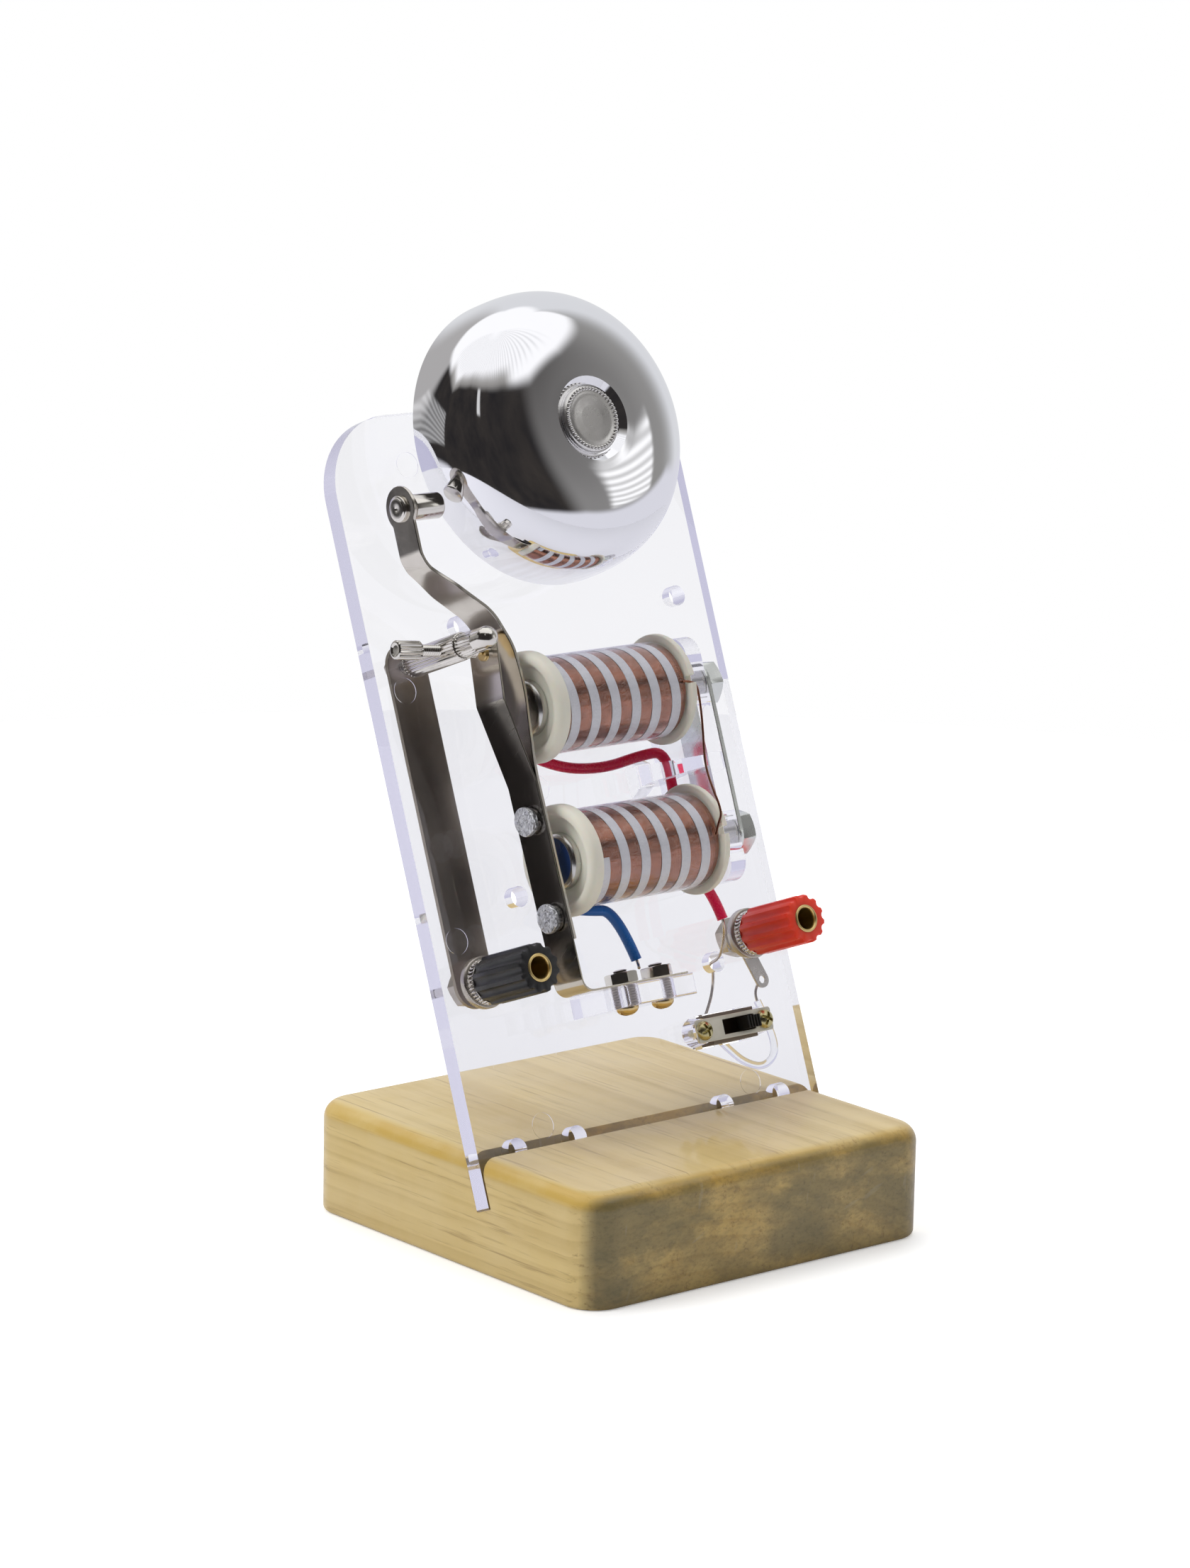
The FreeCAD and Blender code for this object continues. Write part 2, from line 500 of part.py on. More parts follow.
# ---------------------------------------------------------------- coils
for which in ("upper", "lower"):
    level = "D.coil_high" if which == "upper" else "D.coil_low"
    spool = new_body(which.capitalize() + "Bobbin")
    profile = outline(spool, which.capitalize() + "BobbinProfile", "XZ_Plane", [
        ("D.core_r + D.thread_clear", "D.flange_left + D.dish_face_deep"),
        ("D.dish_face_r - 0.6", "D.flange_left + D.dish_face_deep"), ("D.dish_face_r + 0.4", "D.flange_left"),
        ("D.flange_r", "D.flange_left"), ("D.flange_r", "D.wind_left"), ("D.barrel_r", "D.wind_left"),
        ("D.barrel_r", "D.wind_right"), ("D.flange_r", "D.wind_right"), ("D.flange_r", "D.flange_right"),
        ("D.core_r + D.thread_clear", "D.flange_right")])
    spun = spin(spool, profile)
    rim = dress(spool, spun, "Fillet", "1.1", lambda edge: edge.BoundBox.XMax > num("D.flange_r") - 0.01
                and abs(edge.BoundBox.ZMin - num("D.flange_left")) < 0.01)
    # A notch in the thin flange lets the winding's end out, toward the front of the bell.
    pocket(spool, rectangle(spool, which.capitalize() + "Notch", "XY_Plane", "-D.flange_r - 1", "-D.notch_wide / 2",
                            "-D.flange_r + D.notch_deep", "D.notch_wide / 2", "D.flange_right + 1"), "3")
    on_panel(spool, "0", level, "D.mid_out", ALONG_RIGHT)
    node(spool, which + "_bobbin")
    turned(which + "_winding", [
        ("D.barrel_r + 0.05", "D.wind_left + 0.05"), ("D.winding_r", "D.wind_left + 0.05"),
        ("D.winding_r", "D.wind_right - 0.05"), ("D.barrel_r + 0.05", "D.wind_right - 0.05")],
        "0", level, "D.mid_out", ALONG_RIGHT)
    turned(which + "_tape", [
        ("D.winding_r + 0.05", "D.wind_left + 0.1"), ("D.tape_r", "D.wind_left + 0.1"),
        ("D.tape_r", "D.wind_right - 0.1"), ("D.winding_r + 0.05", "D.wind_right - 0.1")],
        "0", level, "D.mid_out", ALONG_RIGHT)
    yoke_face = "D.bar_left + D.bar_thick"
    turned(which + "_core", [
        ("0", "D.pole_face"), ("D.pole_r", "D.pole_face"), ("D.pole_r", "D.flange_left + D.dish_face_deep"),
        ("D.core_r", "D.flange_left + D.dish_face_deep"), ("D.core_r", yoke_face),
        ("D.bolt_r + D.thread_clear", yoke_face), ("D.bolt_r + D.thread_clear", f"{yoke_face} - D.bolt_long"),
        ("0", f"{yoke_face} - D.bolt_long")],
        "0", level, "D.mid_out", ALONG_RIGHT, rounds=[("Chamfer", "0.4", "D.pole_r", "D.pole_face")])

# The yoke plate joins the two cores behind the wall; its ends are rounded about the bolts.
yoke = new_body("YokePlate")
yoke_pad = pad(yoke, rectangle(yoke, "YokeOutline", "YZ_Plane", "D.coil_low - D.yoke_wide / 2",
                               "D.mid_out - D.yoke_wide / 2", "D.coil_high + D.yoke_wide / 2",
                               "D.mid_out + D.yoke_wide / 2", "D.bar_left + D.bar_thick"), "D.yoke_thick")
dress(yoke, yoke_pad, "Fillet", "D.yoke_wide / 2 - 0.01", lambda edge: edge.BoundBox.XLength > 0.9)
pocket(yoke, circles(yoke, "YokeHoles", "YZ_Plane", [
    (f"D.coil_{which}", "D.mid_out", "D.bolt_r + D.thread_clear") for which in ("high", "low")],
    "D.bar_left"), "20", reverse=True)
on_panel(yoke)
node(yoke, "yoke_plate")
yoke_back = num("D.bar_left + D.bar_thick + D.yoke_thick")
bolts = []
for level, angle in ((num("D.coil_high"), 10.0), (num("D.coil_low"), 24.0)):
    head = hexagon(num("D.bolt_across"), num("D.bolt_head"), (yoke_back, level, num("D.mid_out")), (1, 0, 0), angle)
    shank = rod(num("D.bolt_r"), (yoke_back - num("D.bolt_long") + 0.5, level, num("D.mid_out")),
                (yoke_back, level, num("D.mid_out")))
    bolts.append(head.fuse(shank).removeSplitter())
shaped("yoke_bolts", Part.makeCompound(bolts))

# ---------------------------------------------------------------- hammer arm, contact spring and foot
back_edge = num("D.mid_out - D.arm_wide / 2")
half_arm = num("D.arm_thick") / 2
# The clapper stops short of the gong's side, and the arm's eye lies its length behind that.
CLAPPER_RIGHT = "(-sqrt(D.gong_r ^ 2 - (D.gong_up - D.eye_up) ^ 2) - D.clapper_gap)"
EYE_LEFT = f"({CLAPPER_RIGHT} - D.clapper_long)"
eye_left = num(EYE_LEFT)
# The arm's middle line, from its foot up to the clapper's eye. The crank between the shoulder and the eye is almost
# straight, so its middle point keeps its share of the way across.
shoulder = (-24.2, 99.2)
crank = (shoulder[0] + (eye_left - shoulder[0]) * 0.4863, 104.3)
ARM_LINE = [
    (-21.45, 36.2), (-22.15, 69.0), (-20.45, 84.5), (-21.15, 92.4), shoulder, crank,
    (eye_left, 110.2), (eye_left, 125.4)]
ARM_BENDS = [40.0, 30.0, 10.0, 9.0, 60.0, 5.0]
arm = strip_face(ARM_LINE, ARM_BENDS, num("D.arm_thick")).extrude(Vector(0, 0, num("D.arm_wide")))
arm.translate(Vector(0, 0, back_edge))
# Seen from the side the strip narrows at the neck and ends in a round eye.
mid = num("D.mid_out")
wide, neck = num("D.arm_wide") / 2, num("D.neck_wide") / 2
low, high = num("D.neck_low"), num("D.neck_high")
side_line = [
    (30, -wide), (low - 2, -wide), (low + 2, -neck), (high - 1, -neck), (num("D.eye_up"), -neck),
    (num("D.eye_up"), neck), (high - 1, neck), (low + 2, neck), (low - 2, wide), (30, wide)]
mask = Part.Face(Part.makePolygon([Vector(-60, up, mid + out) for up, out in side_line + side_line[:1]]))
mask = mask.extrude(Vector(60, 0, 0))
eye_at = (-60, num("D.eye_up"), mid)
mask = mask.fuse(rod(num("D.eye_r"), eye_at, (0, num("D.eye_up"), mid))).removeSplitter()
arm = arm.common(mask)
arm = arm.cut(rod(num("D.eye_hole"), eye_at, (0, num("D.eye_up"), mid)))
rivet_levels = [num("D.arm_rivet_low"), num("D.arm_rivet_high")]


def on_line(line, level):
    """How far right a bent line lies at a level up the panel, between two of its corners."""
    for (x0, y0), (x1, y1) in zip(line, line[1:]):
        if min(y0, y1) <= level <= max(y0, y1):
            return x0 + (x1 - x0) * (level - y0) / (y1 - y0)
    return line[-1][0]


def across_arm(level):
    """The direction square to the arm's lower leaf."""
    (x0, y0), (x1, y1) = ARM_LINE[0], ARM_LINE[1]
    along = Vector(x1 - x0, y1 - y0, 0).normalize()
    return Vector(-along.y, along.x, 0)


square = across_arm(0)
rivet_hole = num("D.rivet_shank_r")
for level in rivet_levels:
    spot = Vector(on_line(ARM_LINE, level), level, mid)
    arm = arm.cut(Part.makeCylinder(rivet_hole + 0.02, 6, spot - square * 3, square))
shaped("hammer_arm", arm)

# The spring lies on the arm's left face, stands off it above the rivets and bends into a foot below.
gap = num("D.arm_thick + D.spring_thick") / 2
spring_low = Vector(ARM_LINE[0][0], ARM_LINE[0][1], 0) + square * gap
spring_turn = Vector(ARM_LINE[1][0], ARM_LINE[1][1], 0) + square * gap
slope = (spring_turn - spring_low).normalize()
hinge_up = num("D.spring_hinge_up")
hinge_spot = spring_low + slope * ((hinge_up - spring_low.y) / slope.y)
leave = spring_low + slope * ((66.6 - spring_low.y) / slope.y)
SPRING_LINE = [(hinge_spot.x, hinge_spot.y), (leave.x, leave.y), (-26.0, 82.6), (-24.75, 94.4)]
blade = strip_face(SPRING_LINE, [20.0, 12.0], num("D.spring_thick")).extrude(Vector(0, 0, num("D.arm_wide")))
blade.translate(Vector(0, 0, back_edge))
for level in rivet_levels:
    spot = Vector(on_line(ARM_LINE, level), level, mid)
    blade = blade.cut(Part.makeCylinder(rivet_hole + 0.02, 6, spot - square * 3, square))
tip_spot = Vector(on_line(SPRING_LINE, num("D.tip_up")), num("D.tip_up"), mid)
tip_line = Vector(SPRING_LINE[3][0] - SPRING_LINE[2][0], SPRING_LINE[3][1] - SPRING_LINE[2][1], 0).normalize()
tip_square = Vector(-tip_line.y, tip_line.x, 0)
blade = blade.cut(Part.makeCylinder(0.82, 6, tip_spot - tip_square * 3, tip_square))
shaped("contact_spring", blade)

# The part of the same strip below the bend line: a bend and a foot lying on the shelf.
foot_up = num("D.spring_foot_up")
below = hinge_spot - slope * ((hinge_spot.y - foot_up) / slope.y)
foot_line = [(hinge_spot.x, hinge_spot.y), (below.x, foot_up), (num("D.shelf_right") - 0.2, foot_up)]
foot_strip = strip_face(foot_line, [2.4], num("D.spring_thick")).extrude(Vector(0, 0, num("D.arm_wide")))
foot_strip.translate(Vector(0, 0, back_edge))
for which in ("one", "two"):
    right = num(f"D.screw_{which}")
    foot_strip = foot_strip.cut(rod(num("D.shelf_screw_r + D.hole_clear"), (right, 20, mid), (right, 32, mid)))
shaped("spring_foot", foot_strip)

# Two rivets join arm and spring: a flat head on a collar at the left, the closed end at the right.
rivets = []
for level in rivet_levels:
    spot = Vector(on_line(ARM_LINE, level), level, mid)
    left = spot + square * (half_arm + num("D.spring_thick"))
    rivet = Part.makeCylinder(num("D.rivet_collar_r"), num("D.rivet_collar_tall"), left, square)
    top = left + square * num("D.rivet_collar_tall")
    head = Part.makeCylinder(num("D.rivet_head_r"), num("D.rivet_head_tall"), top, square)
    rims = [edge for edge in head.Edges if edge.BoundBox.DiagonalLength > 4 and len(edge.Vertexes) == 1]
    head = head.makeChamfer(0.2, rims)
    rivet = rivet.fuse(head)
    right = spot - square * half_arm
    rivet = rivet.fuse(Part.makeCylinder(rivet_hole, (left - right).Length, right, square))
    rivet = rivet.fuse(Part.makeCylinder(1.9, 0.45, right - square * 0.45, square))
    rivets.append(rivet.removeSplitter())
shaped("armature_rivets", Part.makeCompound(rivets))

# The contact: a brass button through the blade with a pad at its back and a rounded nose toward the screw.
pad_back = tip_spot - tip_square * (num("D.spring_thick") / 2)
contact = Part.makeCylinder(num("D.tip_pad_r"), 0.4, pad_back - tip_square * 0.4, tip_square)
contact = contact.fuse(Part.makeCylinder(0.8, num("D.spring_thick"), pad_back, tip_square))
nose_base = pad_back + tip_square * num("D.spring_thick")
contact = contact.fuse(Part.makeCylinder(num("D.tip_r"), 0.45, nose_base, tip_square)).removeSplitter()
shaped("contact_tip", contact)

# The clapper: a soft iron slug riveted square through the arm's eye.
turned("clapper", [
    ("0", f"{EYE_LEFT} - D.arm_thick / 2 - 1.0"), ("D.eye_hole + 0.9", f"{EYE_LEFT} - D.arm_thick / 2 - 1.0"),
    ("D.eye_hole + 0.9", f"{EYE_LEFT} - D.arm_thick / 2"), ("D.eye_hole - 0.02", f"{EYE_LEFT} - D.arm_thick / 2"),
    ("D.eye_hole - 0.02", f"{EYE_LEFT} + D.arm_thick / 2"),
    ("D.clapper_collar_r", f"{EYE_LEFT} + D.arm_thick / 2"),
    ("D.clapper_collar_r", f"{EYE_LEFT} + D.arm_thick / 2 + D.clapper_collar"),
    ("D.clapper_r", f"{EYE_LEFT} + D.arm_thick / 2 + D.clapper_collar"), ("D.clapper_r", CLAPPER_RIGHT),
    ("0", CLAPPER_RIGHT)],
    "0", "D.eye_up", "D.mid_out", ALONG_RIGHT, rounds=[("Fillet", "0.4", "D.clapper_r", CLAPPER_RIGHT)])

# ---------------------------------------------------------------- contact post and screw
tilt = f"rotation(vector(0; 0; 1); D.screw_tilt) * {ALONG_RIGHT}"
post = new_body("ContactPost")
post_turn = spin(post, outline(post, "ContactPostProfile", "XZ_Plane", [
    ("0", "-D.panel_thick - D.strip_thick - D.small_nut_tall - 0.8"),
    ("D.post_stud_r", "-D.panel_thick - D.strip_thick - D.small_nut_tall - 0.8"), ("D.post_stud_r", "0"),
    ("D.post_r", "0"), ("D.post_r", "D.post_tall"), ("D.cap_screw_shank_r + D.thread_clear", "D.post_tall"),
    ("D.cap_screw_shank_r + D.thread_clear", "D.mid_out"), ("0", "D.mid_out")]))
post_turn = dress(post, post_turn, "Chamfer", "0.3", lambda edge: abs(edge.BoundBox.ZMin - num("D.post_tall")) < 0.01
                  and edge.BoundBox.XMax > num("D.post_r") - 0.01 and edge.BoundBox.ZLength < 0.01)
cross = circles(post, "CrossBore", "XZ_Plane", [("0", "D.mid_out", "D.screw_thread_r + D.screw_clear")])
pocket(post, cross, middle=True)
on_panel(post, "D.post_left", "D.post_up", "0", "rotation(vector(0; 0; 1); D.screw_tilt + 90)")
node(post, "contact_post")
turned("post_cap", [
    ("0", "D.mid_out + D.screw_thread_r + 0.15"), ("D.cap_screw_shank_r", "D.mid_out + D.screw_thread_r + 0.15"),
    ("D.cap_screw_shank_r", "D.post_tall + 0.02"), ("D.cap_screw_r", "D.post_tall + 0.02"),
    ("D.cap_screw_r", "D.post_tall + D.cap_screw_tall"), ("D.cap_dome_r", "D.post_tall + D.cap_screw_tall + 0.5"),
    ("D.cap_dome_r", "D.post_tall + D.cap_screw_tall + 4.4"), ("0", "D.post_tall + D.cap_screw_tall + 4.4")],
    "D.post_left", "D.post_up", "0",
    rounds=[("Fillet", "D.cap_dome_r - 0.1", "D.cap_dome_r", "D.post_tall + D.cap_screw_tall + 4.4")])
# The contact screw runs through the post, tilted down toward the spring's contact.
tip_reach = "(D.screw_tip_left - D.post_left) / cos(D.screw_tilt)"
turned("contact_screw", [
    ("0", "-D.screw_behind - D.screw_head_long"), ("D.screw_head_r", "-D.screw_behind - D.screw_head_long"),
    ("D.screw_head_r", "-D.screw_behind"), ("D.screw_thread_r", "-D.screw_behind"),
    ("D.screw_thread_r", f"{tip_reach} - 1.0"), ("0.7", f"{tip_reach} - 0.55"), ("0.7", tip_reach),
    ("0", tip_reach)],
    "D.post_left", "D.post_up", "D.mid_out", tilt,
    rounds=[("Chamfer", "0.3", "D.screw_head_r", "-D.screw_behind - D.screw_head_long"),
            ("Chamfer", "0.3", "D.screw_head_r", "-D.screw_behind")])

# ---------------------------------------------------------------- rear strip and its nuts
strip = new_body("RearStrip")
strip_pad = pad(strip, rectangle(strip, "StripOutline", "XY_Plane", "D.strip_mid - D.strip_wide / 2",
                                 "D.terminal_up - D.strip_wide / 2", "D.strip_mid + D.strip_wide / 2",
                                 "D.post_up + D.strip_wide / 2", "-D.panel_thick - D.strip_thick"), "D.strip_thick")
dress(strip, strip_pad, "Fillet", "D.strip_wide / 2 - 0.01", lambda edge: edge.BoundBox.ZLength > 0.9)
pocket(strip, circles(strip, "StripHoles", "XY_Plane", [
    ("D.post_left", "D.post_up", "D.post_stud_r + D.hole_clear"),
    ("-D.terminal_out", "D.terminal_up", "D.stud_r + D.hole_clear")], "-D.panel_thick"), "9", middle=True)
on_panel(strip)
node(strip, "rear_strip")


def nut(across, tall, bore, spot, along, turn=0.0):
    """A plain hexagon nut seated at a point, standing along a direction."""
    solid = hexagon(across, tall, spot, along, turn)
    axis = Vector(*along)
    return solid.cut(Part.makeCylinder(bore, tall + 2, Vector(*spot) - axis, axis))


behind = -num("D.panel_thick + D.strip_thick")
shaped("post_nut", nut(num("D.small_nut_across"), num("D.small_nut_tall"), num("D.post_stud_r + D.thread_clear"),
                       (num("D.post_left"), num("D.post_up"), behind), (0, 0, -1), 12.0))
shaped("black_terminal_nut", nut(num("D.nut_across"), num("D.nut_tall"), num("D.stud_r + D.thread_clear"),
                                 (-num("D.terminal_out"), num("D.terminal_up"), behind), (0, 0, -1), 8.0))
lug_thick = 0.5
shaped("red_terminal_nut", nut(num("D.nut_across"), num("D.nut_tall"), num("D.stud_r + D.thread_clear"),
                               (num("D.terminal_out"), num("D.terminal_up"), -num("D.panel_thick") - lug_thick),
                               (0, 0, -1), 20.0))

# The solder lug hangs from the red terminal's stud behind the panel and ends in a small eye.
lug_from = Vector(num("D.terminal_out"), num("D.terminal_up"), -num("D.panel_thick"))
lug_eye = Vector(36.4, 22.8, -num("D.panel_thick"))
lug_way = (lug_eye - lug_from).normalize()
lug_side = Vector(-lug_way.y, lug_way.x, 0)
lug_ring = [lug_from + lug_side * 1.65, lug_eye + lug_side * 1.65, lug_eye - lug_side * 1.65,
            lug_from - lug_side * 1.65, lug_from + lug_side * 1.65]
lug = Part.Face(Part.makePolygon(lug_ring)).extrude(Vector(0, 0, -lug_thick))
lug = lug.fuse(Part.makeCylinder(3.6, lug_thick, lug_from, Vector(0, 0, -1)))
lug = lug.fuse(Part.makeCylinder(1.65, lug_thick, lug_eye, Vector(0, 0, -1))).removeSplitter()
lug = lug.cut(Part.makeCylinder(num("D.stud_r + D.hole_clear"), 2, lug_from + Z_AXIS, Vector(0, 0, -1)))
lug = lug.cut(Part.makeCylinder(0.75, 2, lug_eye + Z_AXIS, Vector(0, 0, -1)))
shaped("solder_lug", lug)

# ---------------------------------------------------------------- socket terminals
for colour, sign in (("black", "-"), ("red", "")):
    right = f"{sign}D.terminal_out"
    turned(colour + "_terminal_washer", [
        ("D.stud_r + D.hole_clear", "0"), ("D.washer_r", "0"), ("D.washer_r", "D.washer_tall"),
        ("D.stud_r + D.hole_clear", "D.washer_tall")],
        right, "D.terminal_up", "0", rounds=[("Chamfer", "0.3", "D.washer_r", "D.washer_tall")])
    turned(colour + "_terminal_stud", [
        ("0", "D.stud_end"), ("D.stud_r", "D.stud_end"), ("D.stud_r", "D.washer_tall"),
        ("D.collar_r", "D.washer_tall"), ("D.collar_r", "D.collar_top"), ("D.stud_r", "D.collar_top"),
        ("D.stud_r", "D.stud_top"), ("0", "D.stud_top")],
        right, "D.terminal_up", "0")
    # The cap: a round moulding with flutes down its side and a wide bore for the socket.
    cap = new_body(colour.capitalize() + "Cap")
    name = colour.capitalize()
    blank = spin(cap, outline(cap, name + "CapProfile", "XZ_Plane", [
        ("D.insert_r", "D.head_low"), ("D.head_r - 0.5", "D.head_low"), ("D.head_r", "D.head_low + 0.6"),
        ("D.head_r", "D.head_top - 0.3"), ("D.head_r - 0.3", "D.head_top"), ("D.insert_r", "D.head_top")]))
    flute = pocket(cap, circles(cap, name + "Flute", "XY_Plane", [("D.head_r + 0.42", "0", "D.rib_cut_r")],
                                "D.head_top + 1"))
    doc.recompute()
    ring = cap.newObject("PartDesign::PolarPattern", name + "Flutes")
    ring.Originals = [flute]
    ring.Axis = (next(item for item in cap.Origin.OriginFeatures if item.Role == "Z_Axis"), [""])
    ring.Angle = 360
    ring.Occurrences = 12
    cap.Tip = ring
    on_panel(cap, right, "D.terminal_up", "0")
    node(cap, colour + "_terminal_cap")
    turned(colour + "_socket", [
        ("D.stud_r + D.thread_clear", "D.head_low"), ("D.insert_r", "D.head_low"), ("D.insert_r", "D.insert_top"),
        ("D.socket_r", "D.insert_top"), ("D.socket_r", "D.stud_top + 0.6"),
        ("D.stud_r + D.thread_clear", "D.stud_top + 0.6")],
        right, "D.terminal_up", "0")

# ---------------------------------------------------------------- shelf screws and nuts
screws = []
nuts = []
shelf_low, foot_top = num("D.shelf_low"), foot_up + num("D.spring_thick") / 2
for which, angle in (("one", 15.0), ("two", 40.0)):
    right = num(f"D.screw_{which}")
    head = rod(num("D.shelf_head_r"), (right, shelf_low, mid), (right, shelf_low - num("D.shelf_head_tall"), mid))
    rims = [edge for edge in head.Edges if edge.BoundBox.YMax < shelf_low - 1 and len(edge.Vertexes) == 1]
    head = head.makeChamfer(0.6, rims)
    groove = Part.makeBox(7, 1.0, 0.7, Vector(right - 3.5, shelf_low - num("D.shelf_head_tall") - 0.1, mid - 0.35))
    head = head.cut(groove)
    shank = rod(num("D.shelf_screw_r"), (right, shelf_low, mid), (right, num("D.shelf_tip"), mid))
    screws.append(head.fuse(shank).removeSplitter())
    nuts.append(nut(num("D.small_nut_across"), num("D.small_nut_tall"), num("D.shelf_screw_r + D.thread_clear"),
                    (right, foot_top + 0.01, mid), (0, 1, 0), angle))
shaped("terminal_screws", Part.makeCompound(screws))
shaped("terminal_nuts", Part.makeCompound(nuts))

# ---------------------------------------------------------------- slide switch
frame = new_body("SwitchFrame")
frame_pad = pad(frame, rectangle(frame, "SwitchFrameOutline", "XY_Plane",
                                 "D.switch_mid - D.switch_frame_long / 2", "D.switch_up - D.switch_frame_wide / 2",
                                 "D.switch_mid + D.switch_frame_long / 2", "D.switch_up + D.switch_frame_wide / 2",
                                 "D.switch_seat"), "D.switch_frame_thick")
dress(frame, frame_pad, "Fillet", "0.6", lambda edge: edge.BoundBox.ZLength > 0.4)
pocket(frame, rectangle(frame, "SwitchFrameSlot", "XY_Plane", SLOT_LEFT,
                        "D.switch_up - D.switch_slot_wide / 2", SLOT_RIGHT,
                        "D.switch_up + D.switch_slot_wide / 2", "D.switch_seat + 2"), "5")
pocket(frame, circles(frame, "SwitchFrameHoles", "XY_Plane", [
    (f"D.switch_mid {sign} {SWITCH_PITCH} / 2", "D.switch_up", "D.switch_screw_r + D.hole_clear")
    for sign in "-+"], "D.switch_seat + 2"), "5")
on_panel(frame)
node(frame, "switch_frame")
housing = new_body("SwitchBody")
pad(housing, rectangle(housing, "SwitchBodyOutline", "XY_Plane",
                       f"D.switch_mid - {SWITCH_BODY_LONG} / 2", "D.switch_up - D.switch_body_wide / 2",
                       f"D.switch_mid + {SWITCH_BODY_LONG} / 2", "D.switch_up + D.switch_body_wide / 2",
                       "D.switch_body_end"), "D.switch_seat - D.switch_body_end")
pocket(housing, rectangle(housing, "SwitchCavity", "XY_Plane",
                          f"{SLOT_LEFT} - 0.6", "D.switch_up - D.switch_slot_wide / 2 - 0.6",
                          f"{SLOT_RIGHT} - 0.05", "D.switch_up + D.switch_slot_wide / 2 + 0.6",
                          "D.switch_seat"), "D.switch_seat + 1.5")
on_panel(housing)
node(housing, "switch_body")
slider_low = "-1.2"
slider = new_body("SwitchSlider")
pad(slider, rectangle(slider, "SliderCarriage", "XY_Plane", f"{KNOB_RIGHT} - D.knob_long",
                      "D.switch_up - D.knob_wide / 2 - 0.5", f"{KNOB_RIGHT} - 0.25",
                      "D.switch_up + D.knob_wide / 2 + 0.5", slider_low), f"D.switch_seat - 0.3 - ({slider_low})")
knob = pad(slider, rectangle(slider, "SliderKnob", "XY_Plane", f"{KNOB_RIGHT} - D.knob_long",
                             "D.switch_up - D.knob_wide / 2", KNOB_RIGHT,
                             "D.switch_up + D.knob_wide / 2", "D.switch_seat - 0.5"), "D.knob_top - D.switch_seat + 0.5")
dress(slider, knob, "Fillet", "0.35", lambda edge: edge.BoundBox.ZMin > num("D.knob_top") - 0.01)
on_panel(slider)
node(slider, "switch_slider")
tabs = []
for shift in (-3.6, 0.0, 3.6):
    tab = Part.makeBox(1.0, 2.4, 4.0, Vector(num("D.switch_mid") + shift - 0.5, num("D.switch_up") - 1.2,
                                             num("D.switch_body_end") - 4.0))
    tab = tab.cut(rod(0.5, (num("D.switch_mid") + shift - 2, num("D.switch_up"), num("D.switch_body_end") - 2.8),
                      (num("D.switch_mid") + shift + 2, num("D.switch_up"), num("D.switch_body_end") - 2.8)))
    tabs.append(tab)
shaped("switch_terminals", Part.makeCompound(tabs))
fixings = []
top_face = num("D.switch_seat + D.switch_frame_thick")
for sign, angle in ((-1, 20.0), (1, 55.0)):
    centre = Vector(num("D.switch_mid") + sign * num(SWITCH_PITCH) / 2, num("D.switch_up"), top_face)
    head = Part.makeCylinder(num("D.switch_head_r"), num("D.switch_head_tall"), centre)
    head = head.makeChamfer(0.45, [edge for edge in head.Edges if edge.BoundBox.ZMin > top_face + 1])
    for extra in (0, 90):
        slit = Part.makeBox(2.4, 0.5, 1.0, Vector(-1.2, -0.25, num("D.switch_head_tall") - 0.7))
        slit.Placement = FreeCAD.Placement(centre, FreeCAD.Rotation(Z_AXIS, angle + extra))
        head = head.cut(slit)
    shank = Part.makeCylinder(num("D.switch_screw_r"), 3.4, centre - Vector(0, 0, 3.4))
    fixings.append(head.fuse(shank).removeSplitter())
shaped("switch_screws", Part.makeCompound(fixings))

# ---------------------------------------------------------------- leads
sleeve, bare = num("D.sleeve_r"), num("D.bare_r")
RED_ROUTE = [
    (-12.4, 72.2, 3.6), (-7.5, 69.4, 3.7), (3.1, 67.95, 4.1), (12.2, 69.3, 4.7), (17.4, 69.4, 6.2),
    (17.4, 61.0, 6.1), (17.5, 53.0, 5.6), (17.4, 46.4, 5.9), (18.9, 40.2, 9.4), (19.4, 35.2, 10.0)]
shaped("red_sleeve", cord(sleeve, RED_ROUTE))
shaped("red_lead", cord(bare, [
    (19.4, 35.18, 10.0), (19.5, 33.6, 9.9), (20.9, 31.3, 7.2), (23.7, 28.2, 1.6), (24.1, 27.7, -3.0),
    (25.8, 24.6, -5.8), (24.5, 20.4, -6.6), (22.9, 17.2, -8.0)]))
shaped("blue_sleeve", cord(sleeve, [
    (-12.6, 42.6, 4.2), (-9.6, 41.5, 6.2), (-4.3, 40.6, 7.8), (-2.2, 30.6, 8.3)]))
shaped("blue_lead", cord(bare, [
    (-2.2, 30.58, 8.3), (-2.0, 29.5, 8.36), (-2.9, 28.95, 9.4)]))
shaped("coil_link_wire", cord(num("D.copper_r"), [
    (13.0, 80.5, 20.95), (15.9, 80.4, 21.35), (16.3, 77.0, 21.0), (16.15, 71.2, 20.2), (14.9, 64.8, 20.0),
    (14.5, 60.4, 20.9), (14.6, 54.6, 22.35), (13.6, 52.6, 21.6), (13.0, 50.6, 20.98)]))
shaped("clear_wire", cord(num("D.clear_wire_r"), [
    (25.9, 12.9, -8.0), (26.5, 10.7, -6.5), (28.6, 7.6, -5.2), (32.8, 5.9, -4.9), (36.6, 8.0, -4.9),
    (36.9, 12.6, -5.0), (35.0, 18.9, -5.1)]))
shaped("clear_wire_core", cord(0.28, [
    (34.99, 18.94, -5.1), (34.75, 19.9, -5.1), (35.4, 21.6, -5.0), (36.3, 22.6, -4.75)]))

